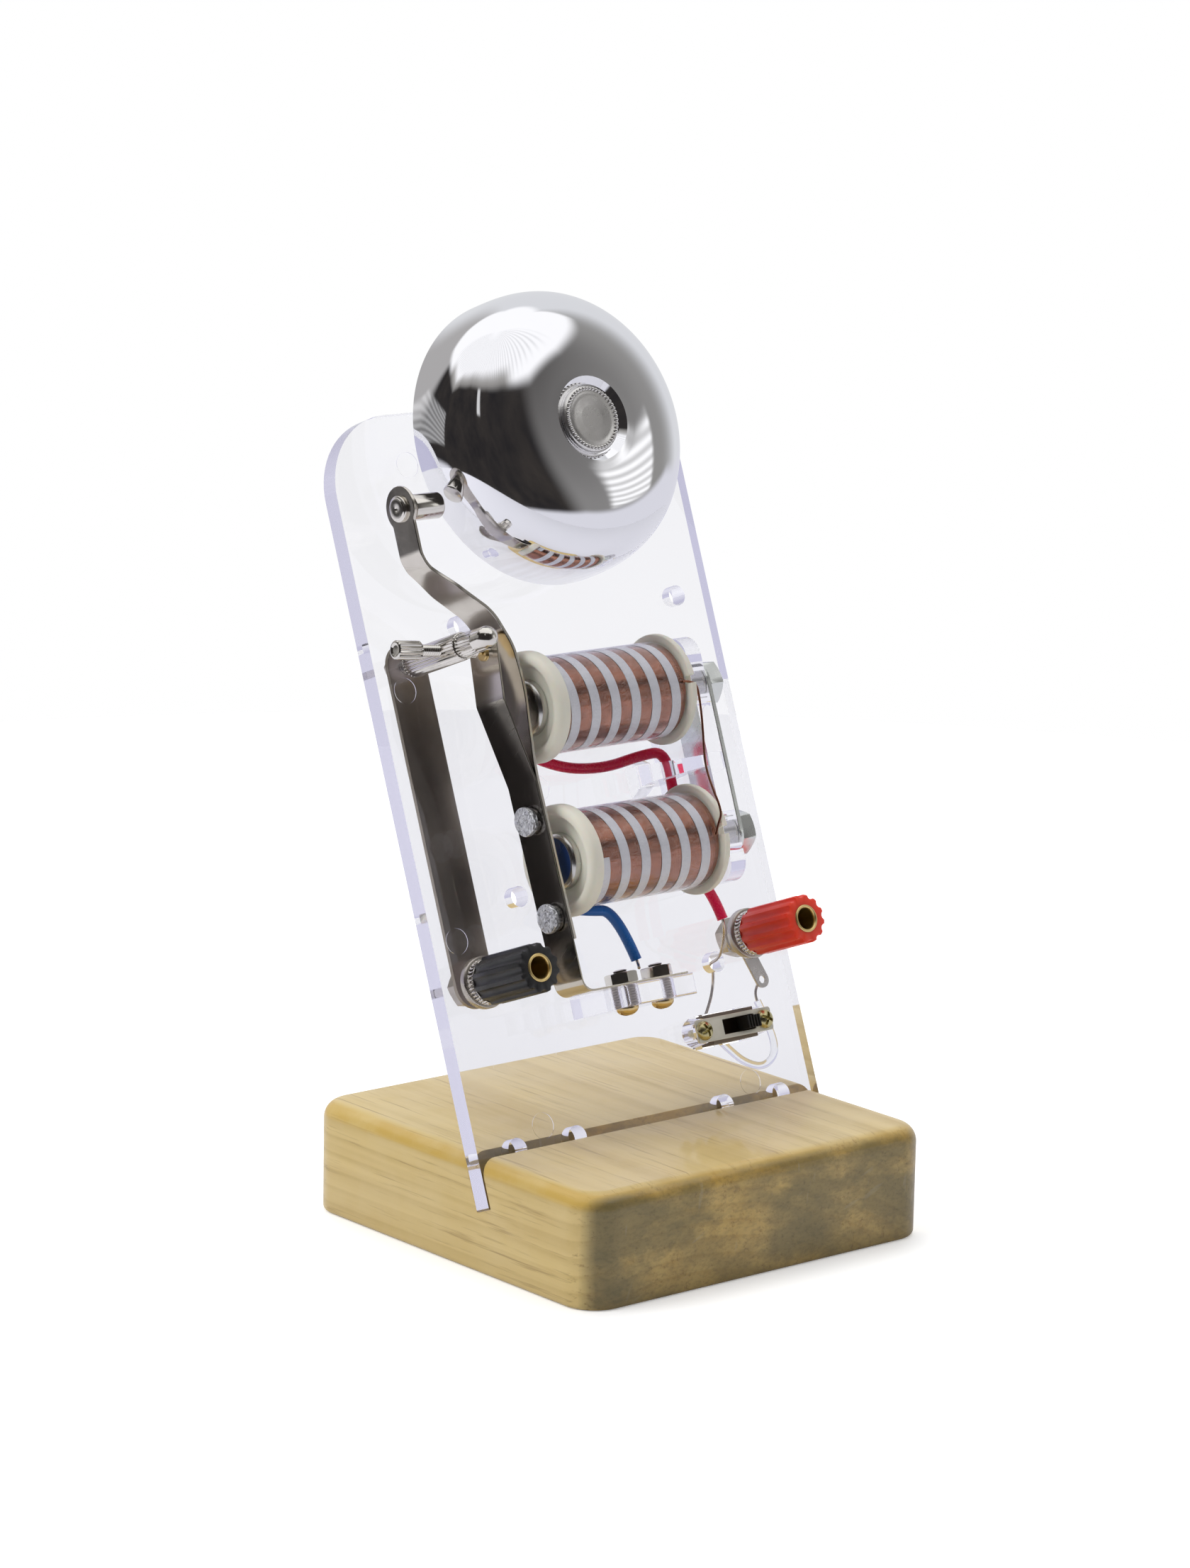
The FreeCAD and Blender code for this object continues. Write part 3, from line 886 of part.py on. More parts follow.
# ---------------------------------------------------------------- check and write every piece
doc.recompute()
for obj in doc.Objects:
    if any(word in obj.State for word in ("Invalid", "Error")):
        raise RuntimeError(f"{obj.Label} did not recompute: {obj.State}")
labels = [obj.Label for obj in NODES]
if len(set(labels)) != len(labels):
    raise RuntimeError("two pieces share a name")
for obj in NODES:
    shape = obj.Shape
    if shape.isNull() or not shape.isValid() or shape.Volume <= 0:
        raise RuntimeError(f"{obj.Label} has no valid solid")
    solids = len(shape.Solids)
    box = shape.BoundBox
    print(f"{obj.Label:24s} solids {solids} volume {shape.Volume:9.1f} z {box.ZMin:7.2f} to {box.ZMax:7.2f}")
    shape.exportStep(os.path.join("parts", obj.Label + ".step"))
print(len(NODES), "pieces written")
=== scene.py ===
# %% [markdown]
# # Electric bell demonstrator
# The solids of the bell arrive as a fixed frame of named pieces. This notebook gives each of them its finish, and
# swaps the ones whose surface needs finer work (the gong, the coils, the bent strips, the knurled and fluted
# turnings, the leads) for pieces built here in the same place. Shapes are written in millimetres and shrunk to
# Blender's metres as their points are made, because whole millimetres are easy to read and to check.

import math

import bmesh
import bpy
from mathutils import Matrix, Vector, noise


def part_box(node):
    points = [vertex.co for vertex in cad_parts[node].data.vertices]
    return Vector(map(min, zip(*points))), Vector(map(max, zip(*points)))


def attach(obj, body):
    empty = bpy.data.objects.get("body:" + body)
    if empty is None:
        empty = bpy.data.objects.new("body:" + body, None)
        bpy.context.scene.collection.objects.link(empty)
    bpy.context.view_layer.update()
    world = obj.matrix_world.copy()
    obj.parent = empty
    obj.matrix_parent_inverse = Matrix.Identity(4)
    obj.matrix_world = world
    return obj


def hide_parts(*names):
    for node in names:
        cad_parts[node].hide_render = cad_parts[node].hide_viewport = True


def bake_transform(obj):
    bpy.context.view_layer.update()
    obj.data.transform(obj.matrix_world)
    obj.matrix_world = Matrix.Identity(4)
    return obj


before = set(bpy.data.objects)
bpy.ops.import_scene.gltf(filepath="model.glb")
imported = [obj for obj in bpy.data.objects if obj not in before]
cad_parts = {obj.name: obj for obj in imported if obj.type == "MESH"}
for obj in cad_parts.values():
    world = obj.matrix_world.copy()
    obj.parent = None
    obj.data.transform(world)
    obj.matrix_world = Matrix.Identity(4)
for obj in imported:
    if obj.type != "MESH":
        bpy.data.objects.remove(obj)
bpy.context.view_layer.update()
MM = 0.001
BASE_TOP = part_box("wooden_base")[1].z / MM
LEAN = math.radians(21.0)
SLOT_FRONT = -9.945
PANEL = Matrix.Translation((0, SLOT_FRONT * MM, BASE_TOP * MM)) @ Matrix.Rotation(math.pi / 2 - LEAN, 4, "X")
OUT = Matrix.Identity(4)
RIGHT = Matrix.Rotation(math.pi / 2, 4, "Y")
UP = Matrix.Rotation(-math.pi / 2, 4, "X")
MID_OUT = 11.4
HAIR = 0.02
WELD = 1e-7
print(len(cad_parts), "pieces in the frame, base", round(BASE_TOP, 2), "mm high")

# %% [markdown]
# ## Placing a piece
# Everything on the real bell sits on a panel that leans back in its base. Objects could be parented to a tilted
# empty, but a finished piece has to stay at the origin with its place in its mesh. So `place` turns a spot on the
# leaning panel into a matrix (across, up, and out of the front face), and `piece` applies it to the points.

# %% Place, finish and name a mesh
def place(across=0.0, up=0.0, out=0.0, turn=OUT):
    """The matrix of a spot on the leaning panel."""
    return PANEL @ Matrix.Translation((across * MM, up * MM, out * MM)) @ turn


def facing(across, up, out, direction):
    """A spot on the panel whose own axis points along a direction given in the panel's frame."""
    turn = Vector(direction).to_track_quat("Z", "X").to_matrix().to_4x4()
    return place(across, up, out, turn)


def piece(bm, name, material, matrix, body="stand", crease=32.0, replaced=()):
    """Turns a finished bmesh into an object at the origin that rides on a body."""
    bmesh.ops.remove_doubles(bm, verts=bm.verts, dist=WELD)
    bmesh.ops.transform(bm, matrix=matrix, verts=bm.verts)
    bmesh.ops.recalc_face_normals(bm, faces=bm.faces)
    mesh = bpy.data.meshes.new(name)
    bm.to_mesh(mesh)
    bm.free()
    mesh.materials.append(material)
    mesh.polygons.foreach_set("use_smooth", [True] * len(mesh.polygons))
    mesh.set_sharp_from_angle(angle=math.radians(crease))
    shown = bpy.data.objects.new(name, mesh)
    bpy.context.scene.collection.objects.link(shown)
    if body:
        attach(shown, body)
    if replaced:
        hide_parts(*replaced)
    return shown


print("the panel's foot is at", [round(value / MM, 2) for value in place().translation], "mm")

# %% [markdown]
# ## Shapes turned on a lathe
# The gong, the spools, the studs and the screws are round, as a lathe or a press makes them. A stack of cylinders
# would leave hard steps, so each is drawn as a line of (radius, height) points with rounded corners, and one full
# spin about the axis makes the surface.

# %% Draw a line and turn it
BROAD_CORNER = 0.5


def drawn_line(bm, points, soften=0.0, closed=False):
    """A chain of edges through (radius, height) points, its corners rounded. A third value in a point is that
    corner's own rounding."""
    verts = [bm.verts.new((spot[0] * MM, 0, spot[1] * MM)) for spot in points]
    for pair in zip(verts, verts[1:]):
        bm.edges.new(pair)
    if closed:
        bm.edges.new((verts[-1], verts[0]))
    for corner, spot in zip(verts, points):
        own = spot[2] if len(spot) > 2 else soften
        if own and len(corner.link_edges) == 2:
            steps = 6 if own > BROAD_CORNER else 3
            bmesh.ops.bevel(bm, geom=[corner], offset=own * MM, offset_type="OFFSET", segments=steps, profile=0.5,
                            affect="VERTICES", clamp_overlap=True, material=-1)


def turn_mesh(points, soften=0.15, steps=96, closed=False):
    """A full turn of a drawn line about the Z axis."""
    bm = bmesh.new()
    drawn_line(bm, points, soften, closed)
    bmesh.ops.spin(bm, geom=bm.verts[:] + bm.edges[:], cent=(0, 0, 0), axis=(0, 0, 1), angle=math.tau,
                   steps=steps, use_merge=True)
    bmesh.ops.remove_doubles(bm, verts=bm.verts, dist=WELD)
    return bm


def lathe(name, points, material, matrix, body="stand", soften=0.15, steps=96, closed=False, replaced=()):
    """A lathe-turned piece."""
    return piece(turn_mesh(points, soften, steps, closed), name, material, matrix, body, replaced=replaced)


print("corners rounded by more than", BROAD_CORNER, "mm get six steps, the rest three")

# %% [markdown]
# ## Nodes in a few words
# A finish needs dozens of nodes. Adding and linking each by hand would fill pages, so these helpers add a node, fill
# its inputs and give back the output that the next step needs.

# %% Node helpers
def add(tree, kind, links=None, **values):
    """Adds a node, sets its plain properties, and fills inputs given by name or number."""
    node = tree.nodes.new(kind)
    for key, value in values.items():
        setattr(node, key, value)
    for key, value in (links or {}).items():
        if isinstance(value, bpy.types.NodeSocket):
            tree.links.new(value, node.inputs[key])
        else:
            node.inputs[key].default_value = value
    return node


def maths(tree, operation, *values, clamp=False):
    """One step of arithmetic."""
    node = add(tree, "ShaderNodeMath", dict(enumerate(values)), operation=operation, use_clamp=clamp)
    return node.outputs[0]


def remap(tree, value, low, high, to_low=0.0, to_high=1.0, smooth=False):
    """Turns a value's span into another one, 0 to 1 unless told otherwise."""
    node = add(tree, "ShaderNodeMapRange",
               {"Value": value, "From Min": low, "From Max": high, "To Min": to_low, "To Max": to_high},
               interpolation_type="SMOOTHSTEP" if smooth else "LINEAR")
    return node.outputs["Result"]


def ramp(tree, value, stops):
    """A colour ramp from (position, colour) stops."""
    node = add(tree, "ShaderNodeValToRGB", {"Fac": value})
    band = node.color_ramp
    while len(band.elements) < len(stops):
        band.elements.new(1.0)
    for element, (position, colour) in zip(band.elements, stops):
        element.position = position
        element.color = (*colour, 1.0)
    return node.outputs["Color"]


def blend_colours(tree, share, first, second, mode="MIX"):
    """The first colour where the share is 0, the second where it's 1."""
    node = add(tree, "ShaderNodeMix", data_type="RGBA", blend_type=mode)
    for index, value in ((0, share), (6, first), (7, second)):
        if isinstance(value, bpy.types.NodeSocket):
            tree.links.new(value, node.inputs[index])
        elif index:
            node.inputs[index].default_value = (*value, 1.0)
        else:
            node.inputs[index].default_value = value
    return node.outputs[2]


def object_spot(tree, scale=1.0, stretch=(1.0, 1.0, 1.0)):
    """Where a surface point lies on the piece, scaled so that 1 unit is `scale` repeats a metre."""
    coordinates = add(tree, "ShaderNodeTexCoord").outputs["Object"]
    node = add(tree, "ShaderNodeMapping", {"Vector": coordinates, "Scale": [scale * s for s in stretch]})
    return node.outputs["Vector"]


print("node helpers:", [helper.__name__ for helper in (add, maths, remap, ramp, blend_colours, object_spot)])

# %% [markdown]
# ## Shared surface effects
# Handled metal and plastic are never even: their tone is cloudy and fine scratches cross them. Copying those nodes
# into every material would work, but a node group is built once and placed with its own values. Each group gives
# out only a value, so every material keeps its own shader.

# %% Node groups
def new_group(name, inputs, outputs):
    """An empty node group with named sockets; an input is (name, kind, value)."""
    group = bpy.data.node_groups.new(name, "ShaderNodeTree")
    for label, kind, value in inputs:
        socket = group.interface.new_socket(label, in_out="INPUT", socket_type=kind)
        socket.default_value = value
    for label, kind in outputs:
        group.interface.new_socket(label, in_out="OUTPUT", socket_type=kind)
    return group, group.nodes.new("NodeGroupInput"), group.nodes.new("NodeGroupOutput")


def build_cloud():
    """Soft noise about one half, spread by its contrast."""
    group, get, give = new_group("cloudy_tone", [
        ("Vector", "NodeSocketVector", (0, 0, 0)), ("Size", "NodeSocketFloat", 200.0),
        ("Contrast", "NodeSocketFloat", 1.0)], [("Tone", "NodeSocketFloat")])
    noise = add(group, "ShaderNodeTexNoise", {"Vector": get.outputs["Vector"], "Scale": get.outputs["Size"],
                                              "Detail": 6.0, "Roughness": 0.6})
    centred = maths(group, "SUBTRACT", noise.outputs["Fac"], 0.5)
    spread = maths(group, "MULTIPLY", centred, get.outputs["Contrast"])
    group.links.new(maths(group, "ADD", spread, 0.5, clamp=True), give.inputs["Tone"])
    return group


def build_scratches():
    """Noise drawn out along three directions. Each direction counts only where it lies nearly in the surface, since
    drawn-out noise cut across its length would show as dots."""
    group, get, give = new_group("fine_scratches", [
        ("Vector", "NodeSocketVector", (0, 0, 0)), ("Density", "NodeSocketFloat", 900.0),
        ("Amount", "NodeSocketFloat", 0.5)], [("Mask", "NodeSocketFloat")])
    normal = add(group, "ShaderNodeTexCoord").outputs["Normal"]
    masks = []
    for drawn in ((0.15, 1.0, 0.10), (0.90, 0.43, 0.0), (0.0, 0.5, 0.86)):
        along = (PANEL.to_3x3() @ Vector(drawn)).normalized()
        turn = Vector((1, 0, 0)).rotation_difference(along).to_euler()
        turned = add(group, "ShaderNodeMapping", {"Vector": get.outputs["Vector"], "Rotation": tuple(turn),
                                                  "Scale": (40.0, 1.0, 1.0)}, vector_type="TEXTURE")
        noise = add(group, "ShaderNodeTexNoise", {"Vector": turned.outputs["Vector"],
                                                  "Scale": get.outputs["Density"], "Detail": 2.0})
        across = add(group, "ShaderNodeVectorMath", {0: normal, 1: tuple(along)}, operation="DOT_PRODUCT")
        flat = remap(group, maths(group, "ABSOLUTE", across.outputs["Value"]), 0.15, 0.40, 1.0, 0.0)
        masks.append(maths(group, "MULTIPLY", remap(group, noise.outputs["Fac"], 0.68, 0.74), flat))
    both = maths(group, "MAXIMUM", masks[0], masks[1])
    all_three = maths(group, "MAXIMUM", both, masks[2])
    group.links.new(maths(group, "MULTIPLY", all_three, get.outputs["Amount"]), give.inputs["Mask"])
    return group


CLOUD = build_cloud()
SCRATCHES = build_scratches()


def cloud(tree, vector, size, contrast=1.0):
    """Places the cloudy tone in a material."""
    return add(tree, "ShaderNodeGroup", {"Vector": vector, "Size": size, "Contrast": contrast},
               node_tree=CLOUD).outputs["Tone"]


def scratches(tree, vector, density, amount):
    """Places the scratches in a material."""
    return add(tree, "ShaderNodeGroup", {"Vector": vector, "Density": density, "Amount": amount},
               node_tree=SCRATCHES).outputs["Mask"]


def bumped(tree, shader, height, strength, distance):
    """Feeds a height through a Bump node into a shader's normal."""
    bump = add(tree, "ShaderNodeBump", {"Height": height, "Strength": strength, "Distance": distance * MM})
    tree.links.new(bump.outputs["Normal"], shader.inputs["Normal"])


print("node groups:", [group.name for group in bpy.data.node_groups])

# %% [markdown]
# ## Plated and bare metals
# The bell's metals differ in colour and in how evenly they are polished: bright chrome, nickel, dull zinc, brass
# and tinned wire. Image textures could show that, but noise on Object coordinates needs no unwrapping and stays sharp
# at any distance. Constants are set on the shader's own sockets, and nodes only bring what changes over the surface.

# %% Metals
def new_material(name, **sockets):
    """A material whose shader has the given sockets set."""
    material = bpy.data.materials.new(name)
    material.use_nodes = True
    tree = material.node_tree
    shader = tree.nodes["Principled BSDF"]
    for key, value in sockets.items():
        label = key.replace("_", " ")
        shader.inputs[label].default_value = (*value, 1.0) if isinstance(value, tuple) else value
    return material, tree, shader


def plated(name, colour, dark, rough, uneven, size, marks, pits):
    """A plated or bare metal: cloudy tone, uneven polish, hairline scratches and a faint orange-peel."""
    material, tree, shader = new_material(name, Metallic=1.0)
    spot = object_spot(tree)
    tone = cloud(tree, spot, size, 1.6)
    lines = scratches(tree, spot, 2400.0, marks)
    tree.links.new(blend_colours(tree, tone, dark, colour), shader.inputs["Base Color"])
    polish = remap(tree, tone, 0.0, 1.0, rough + uneven, max(0.02, rough - uneven))
    tree.links.new(maths(tree, "ADD", polish, maths(tree, "MULTIPLY", lines, 0.25)), shader.inputs["Roughness"])
    bumped(tree, shader, maths(tree, "ADD", cloud(tree, spot, size * 6, 1.0), maths(tree, "MULTIPLY", lines, -0.6)),
           0.25, pits)
    return material


# The name, the clean and the dull colour, the roughness, its unevenness, the cloud size, marks and pits.
CHROME = plated("chrome", (0.92, 0.92, 0.94), (0.88, 0.88, 0.91), 0.045, 0.015, 40.0, 0.04, 0.004)
SATIN = plated("satin_chrome", (0.86, 0.85, 0.83), (0.68, 0.66, 0.64), 0.30, 0.10, 420.0, 0.3, 0.05)
ARM_METAL = plated("rolled_nickel", (0.74, 0.70, 0.64), (0.64, 0.60, 0.54), 0.17, 0.06, 160.0, 0.35, 0.02)
NICKEL = plated("nickel", (0.80, 0.77, 0.72), (0.70, 0.67, 0.62), 0.14, 0.05, 180.0, 0.25, 0.012)
OLD_NICKEL = plated("dull_nickel", (0.62, 0.58, 0.52), (0.44, 0.40, 0.36), 0.30, 0.10, 260.0, 0.5, 0.03)
DARK_NICKEL = plated("dark_nickel", (0.50, 0.44, 0.355), (0.28, 0.245, 0.20), 0.36, 0.06, 60.0, 0.12, 0.006)
ZINC = plated("zinc", (0.82, 0.84, 0.82), (0.62, 0.64, 0.62), 0.26, 0.08, 220.0, 0.5, 0.03)
FRAME_TIN = plated("tinned_steel", (0.92, 0.89, 0.78), (0.78, 0.75, 0.64), 0.46, 0.08, 300.0, 0.4, 0.05)
SCREW_BRASS = plated("passivated_brass", (0.66, 0.60, 0.34), (0.50, 0.44, 0.22), 0.26, 0.06, 500.0, 0.3, 0.03)
SOCKET_BRASS = plated("socket_brass", (0.90, 0.70, 0.32), (0.78, 0.58, 0.24), 0.34, 0.06, 300.0, 0.3, 0.03)
BRASS = plated("brass", (0.83, 0.64, 0.33), (0.62, 0.45, 0.20), 0.24, 0.08, 300.0, 0.4, 0.03)
COPPER = plated("enamelled_copper", (0.45, 0.20, 0.12), (0.24, 0.09, 0.06), 0.30, 0.08, 400.0, 0.2, 0.02)
TINNED = plated("tinned_copper", (0.74, 0.68, 0.60), (0.50, 0.42, 0.34), 0.26, 0.08, 500.0, 0.4, 0.03)
print(len(bpy.data.materials), "materials")

# %% [markdown]
# ## Steel and hammered zinc
# Three metals carry more than a plain skin. The spring's blade is painted dark between its bright ends, a painted
# reflection of dark surroundings. One pole's face carries a painted reflection of the blue sleeve, and the rivets were
# closed with a hammer. Separate pieces could show the blue face and the bright ends, but they have no thickness to
# speak of, so a mask on the same surface draws them.

# %% Painted dark blade, painted blue pole face and hammered metal
# Nodes measure in metres: the two ends of the spring's painted dark band up the panel, how softly each fades, and the
# face along X that carries the painted blue reflection.
DARK_BAND_LOW, DARK_BAND_HIGH = 0.033, 0.0826
LOW_FADE, HIGH_FADE = 0.004, 0.0015
BLUE_FACE_X = -0.01895


def shaded_blade(name, colour, dark, clean, *rest):
    """Spring steel painted dark along the blade, between two heights up the panel, as a painted reflection of dark
    surroundings; both ends keep the bright steel colour."""
    material = plated(name, colour, dark, *rest)
    tree = material.node_tree
    shader = tree.nodes["Principled BSDF"]
    painted_dark = shader.inputs["Base Color"].links[0].from_socket
    upward = PANEL.to_3x3() @ Vector((0, 1, 0))
    rise = add(tree, "ShaderNodeVectorMath", {0: object_spot(tree), 1: tuple(upward)},
               operation="DOT_PRODUCT").outputs["Value"]
    level = maths(tree, "SUBTRACT", rise, PANEL.translation.dot(upward))
    below = remap(tree, level, DARK_BAND_LOW + LOW_FADE, DARK_BAND_LOW - LOW_FADE, smooth=True)
    above = remap(tree, level, DARK_BAND_HIGH - HIGH_FADE, DARK_BAND_HIGH + HIGH_FADE, smooth=True)
    tree.links.new(blend_colours(tree, maths(tree, "MAXIMUM", below, above), painted_dark, clean),
                   shader.inputs["Base Color"])
    return material


def blue_faced(name, colour, dark, painted_blue, *rest):
    """Steel whose flat left face is painted a flat non-metallic colour, a painted reflection of the blue sleeve
    nearby.
    """
    material = plated(name, colour, dark, *rest)
    tree = material.node_tree
    shader = tree.nodes["Principled BSDF"]
    bare = shader.inputs["Base Color"].links[0].from_socket
    parts = add(tree, "ShaderNodeSeparateXYZ", {"Vector": object_spot(tree)})
    on_blue_face = remap(tree, parts.outputs["X"], BLUE_FACE_X + 0.04 * MM, BLUE_FACE_X + 0.01 * MM)
    tree.links.new(blend_colours(tree, on_blue_face, bare, painted_blue), shader.inputs["Base Color"])
    tree.links.new(maths(tree, "SUBTRACT", 1.0, on_blue_face), shader.inputs["Metallic"])
    return material


def hammered(name, colour, vein):
    """Soft metal that was hammered: small dents that turn the light every way, and dark veins between them."""
    material, tree, shader = new_material(name, Metallic=0.75, Roughness=0.30)
    spot = object_spot(tree)
    dents = add(tree, "ShaderNodeTexNoise", {"Vector": spot, "Scale": 650.0, "Detail": 2.0, "Distortion": 1.2})
    edge = maths(tree, "ABSOLUTE", maths(tree, "SUBTRACT", dents.outputs["Fac"], 0.5))
    tree.links.new(blend_colours(tree, remap(tree, edge, 0.0, 0.045), vein, colour), shader.inputs["Base Color"])
    bumped(tree, shader, dents.outputs["Fac"], 1.0, 0.55)
    return material


POLE_STEEL = ((0.72, 0.70, 0.66), (0.50, 0.50, 0.50))
POLE_SKIN = (0.22, 0.06, 120.0, 0.3, 0.02)
STEEL = plated("polished_steel", *POLE_STEEL, *POLE_SKIN)
# The lower pole's face carries a painted reflection of the blue sleeve.
BLUE_FACED_STEEL = blue_faced("blue_faced_steel", *POLE_STEEL, (0.022, 0.050, 0.16), *POLE_SKIN)
# The spring's blade is a painted dark reflection; only its ends show the steel's own colour.
SPRING_STEEL = shaded_blade("spring_steel", (0.20, 0.185, 0.165), (0.15, 0.138, 0.12), (0.66, 0.61, 0.52), 0.15, 0.05,
                        120.0, 0.5, 0.012)
MOTTLED_ZINC = hammered("mottled_zinc", (0.93, 0.94, 0.97), (0.34, 0.34, 0.36))
print(len(bpy.data.materials), "materials")

# %% [markdown]
# ## Plastics
# The spools, terminal caps, sleeves and the switch are moulded. A single flat colour looks like paint, so a slight
# flow tone and a little dust in the polish are added, and the thicker light plastics let some light under the skin.

# %% Plastics
def plastic(name, colour, dark, rough, grain=0.02, **sockets):
    """A moulded plastic: slight flow tone, a little dust in the polish and a faint skin texture."""
    material, tree, shader = new_material(name, IOR=1.49, **sockets)
    spot = object_spot(tree)
    tone = cloud(tree, spot, 180.0, 1.4)
    tree.links.new(blend_colours(tree, tone, dark, colour), shader.inputs["Base Color"])
    fine = cloud(tree, spot, 2600.0, 1.5)
    tree.links.new(remap(tree, maths(tree, "MULTIPLY", tone, fine), 0.0, 0.6, rough + 0.12, rough - 0.06),
                   shader.inputs["Roughness"])
    bumped(tree, shader, fine, 0.3, grain)
    return material


IVORY = plastic("ivory_plastic", (0.90, 0.875, 0.775), (0.85, 0.82, 0.70), 0.42, Subsurface_Weight=0.15,
                Subsurface_Scale=0.002)
BLACK = plastic("black_plastic", (0.022, 0.021, 0.022), (0.012, 0.012, 0.013), 0.30, grain=0.015)
HOUSING = plastic("brown_plastic", (0.30, 0.24, 0.19), (0.20, 0.16, 0.125), 0.4)
KNOB_BLACK = plastic("matt_black_plastic", (0.014, 0.013, 0.011), (0.008, 0.007, 0.006), 0.55, grain=0.03)
RED = plastic("red_plastic", (0.97, 0.068, 0.030), (0.88, 0.050, 0.022), 0.30, grain=0.015, Subsurface_Weight=0.35,
              Subsurface_Scale=0.004)
RED_SLEEVE = plastic("red_sleeve", (0.98, 0.03, 0.14), (0.88, 0.02, 0.10), 0.22, Subsurface_Weight=0.6,
                     Subsurface_Scale=0.003)
BLUE_SLEEVE = plastic("blue_sleeve", (0.04, 0.22, 0.68), (0.03, 0.16, 0.56), 0.25)
RIBBON = plastic("tape_ribbon", (0.78, 0.79, 0.85), (0.69, 0.69, 0.76), 0.25)
print(len(bpy.data.materials), "materials")

# %% [markdown]
# ## Varnished wood
# The base is a block of pale softwood under varnish. A tiled picture of wood would show the same face on every side.
# Here the growth rings are worked out in space, about a line far below the block, so the top shows long grain and the
# sawn front shows the rings' ends, as on a real block. The front is darker than the top and carries stains.

# %% Growth rings and long grain
# The line that the rings grow about lies this many metres left of the block's middle and below its foot.
RING_EAST, RING_DEEP = 0.018, 0.075
RINGS_A_METRE = 330.0


def stretched_noise(tree, stretch, **settings):
    """Noise drawn out along the grain; the settings are the node's own inputs."""
    inputs = {"Vector": object_spot(tree, 1.0, stretch), "Scale": 1.0}
    inputs.update({key: float(value) for key, value in settings.items()})
    return add(tree, "ShaderNodeTexNoise", inputs).outputs["Fac"]


def growth_rings(tree, parts):
    """The dark late wood of each ring, as a value: rings about a line below the block that wander a little."""
    east = maths(tree, "ADD", parts.outputs["X"], RING_EAST)
    high = maths(tree, "ADD", parts.outputs["Z"], RING_DEEP)
    reach = maths(tree, "SQRT", maths(tree, "ADD", maths(tree, "MULTIPLY", east, east),
                                      maths(tree, "MULTIPLY", high, high)))
    wander = stretched_noise(tree, (14, 2.5, 14), Detail=3)
    reach = maths(tree, "ADD", reach, maths(tree, "MULTIPLY", wander, 0.006))
    rings = maths(tree, "FRACT", maths(tree, "MULTIPLY", reach, RINGS_A_METRE))
    return ramp(tree, rings, [(0.0, (0.15,) * 3), (0.55, (0.35,) * 3), (0.88, (1.0,) * 3), (1.0, (0.1,) * 3)])


def long_grain(tree, late, pores, blotch):
    """Bare wood: late rings and soft streaks, warmer blotches and dark pores."""
    streaks = remap(tree, stretched_noise(tree, (260, 9, 260), Detail=3, Roughness=0.6), 0.38, 0.66)
    wood = ramp(tree, maths(tree, "ADD", maths(tree, "MULTIPLY", late, 0.38),
                            maths(tree, "MULTIPLY", streaks, 0.32), clamp=True),
                [(0.0, (0.73, 0.56, 0.235)), (1.0, (0.46, 0.305, 0.085))])
    wood = blend_colours(tree, remap(tree, blotch, 0.3, 0.8, 0.0, 0.5), wood, (0.71, 0.56, 0.28))
    return blend_colours(tree, maths(tree, "MULTIPLY", pores, 0.55), wood, (0.28, 0.16, 0.05))


print("growth rings", round(1 / RINGS_A_METRE / MM, 1), "mm apart")

# %% [markdown]
# Varnish runs off a rounded edge and dries thicker and yellower there, and the sawn front is darker, with stains and
# saw marks. Both follow the way the surface faces, so the normal picks them out and no image is needed.

# %% Varnished edge, darker front and the wood itself
def varnished_edge(tree, spot, normal, wood):
    """Amber varnish along the rounded top edge, in uneven patches."""
    rounded = maths(tree, "MULTIPLY", remap(tree, normal.outputs["Z"], 0.985, 0.85),
                    remap(tree, normal.outputs["Z"], 0.10, 0.40))
    rounded = maths(tree, "MULTIPLY", rounded, remap(tree, cloud(tree, spot, 70.0, 2.2), 0.2, 0.6, 0.25, 0.75))
    return blend_colours(tree, rounded, wood, (0.60, 0.385, 0.075))


def darkened_front(tree, spot, parts, wood):
    """The sawn front: darker overall, with slanting saw marks, stains, a darker left corner, darker towards the
    bottom, specks and pale scratches.
    """
    grime = object_spot(tree, 1.0, (1, 1, 1.8))
    slope = maths(tree, "ADD", maths(tree, "MULTIPLY", parts.outputs["X"], 0.7), parts.outputs["Z"])
    sweep = maths(tree, "ADD", maths(tree, "MULTIPLY", slope, 330.0),
                  maths(tree, "MULTIPLY", cloud(tree, grime, 120.0, 1.6), 5.0))
    saw_marks = remap(tree, maths(tree, "SINE", sweep), -0.6, 1.0)
    stain = remap(tree, cloud(tree, grime, 34.0, 3.0), 0.40, 0.72)
    corner = remap(tree, parts.outputs["X"], -0.0335, -0.0375)
    foot = remap(tree, parts.outputs["Z"], 0.010, 0.0)
    specks = remap(tree, cloud(tree, grime, 900.0, 2.0), 0.45, 0.75)
    # The whole front is made darker than the top, and darker still towards its left corner and its bottom.
    front = blend_colours(tree, 1.0, wood, (0.90, 0.82, 0.64), mode="MULTIPLY")
    for mask, strength, colour in ((saw_marks, 0.36, (0.21, 0.17, 0.075)), (stain, 0.62, (0.155, 0.135, 0.062)),
                                   (corner, 0.5, (0.15, 0.125, 0.062)), (foot, 0.35, (0.12, 0.10, 0.045)),
                                   (specks, 0.22, (0.10, 0.08, 0.04))):
        front = blend_colours(tree, maths(tree, "MULTIPLY", mask, strength), front, colour)
    return blend_colours(tree, scratches(tree, spot, 420.0, 0.22), front, (0.50, 0.46, 0.34))


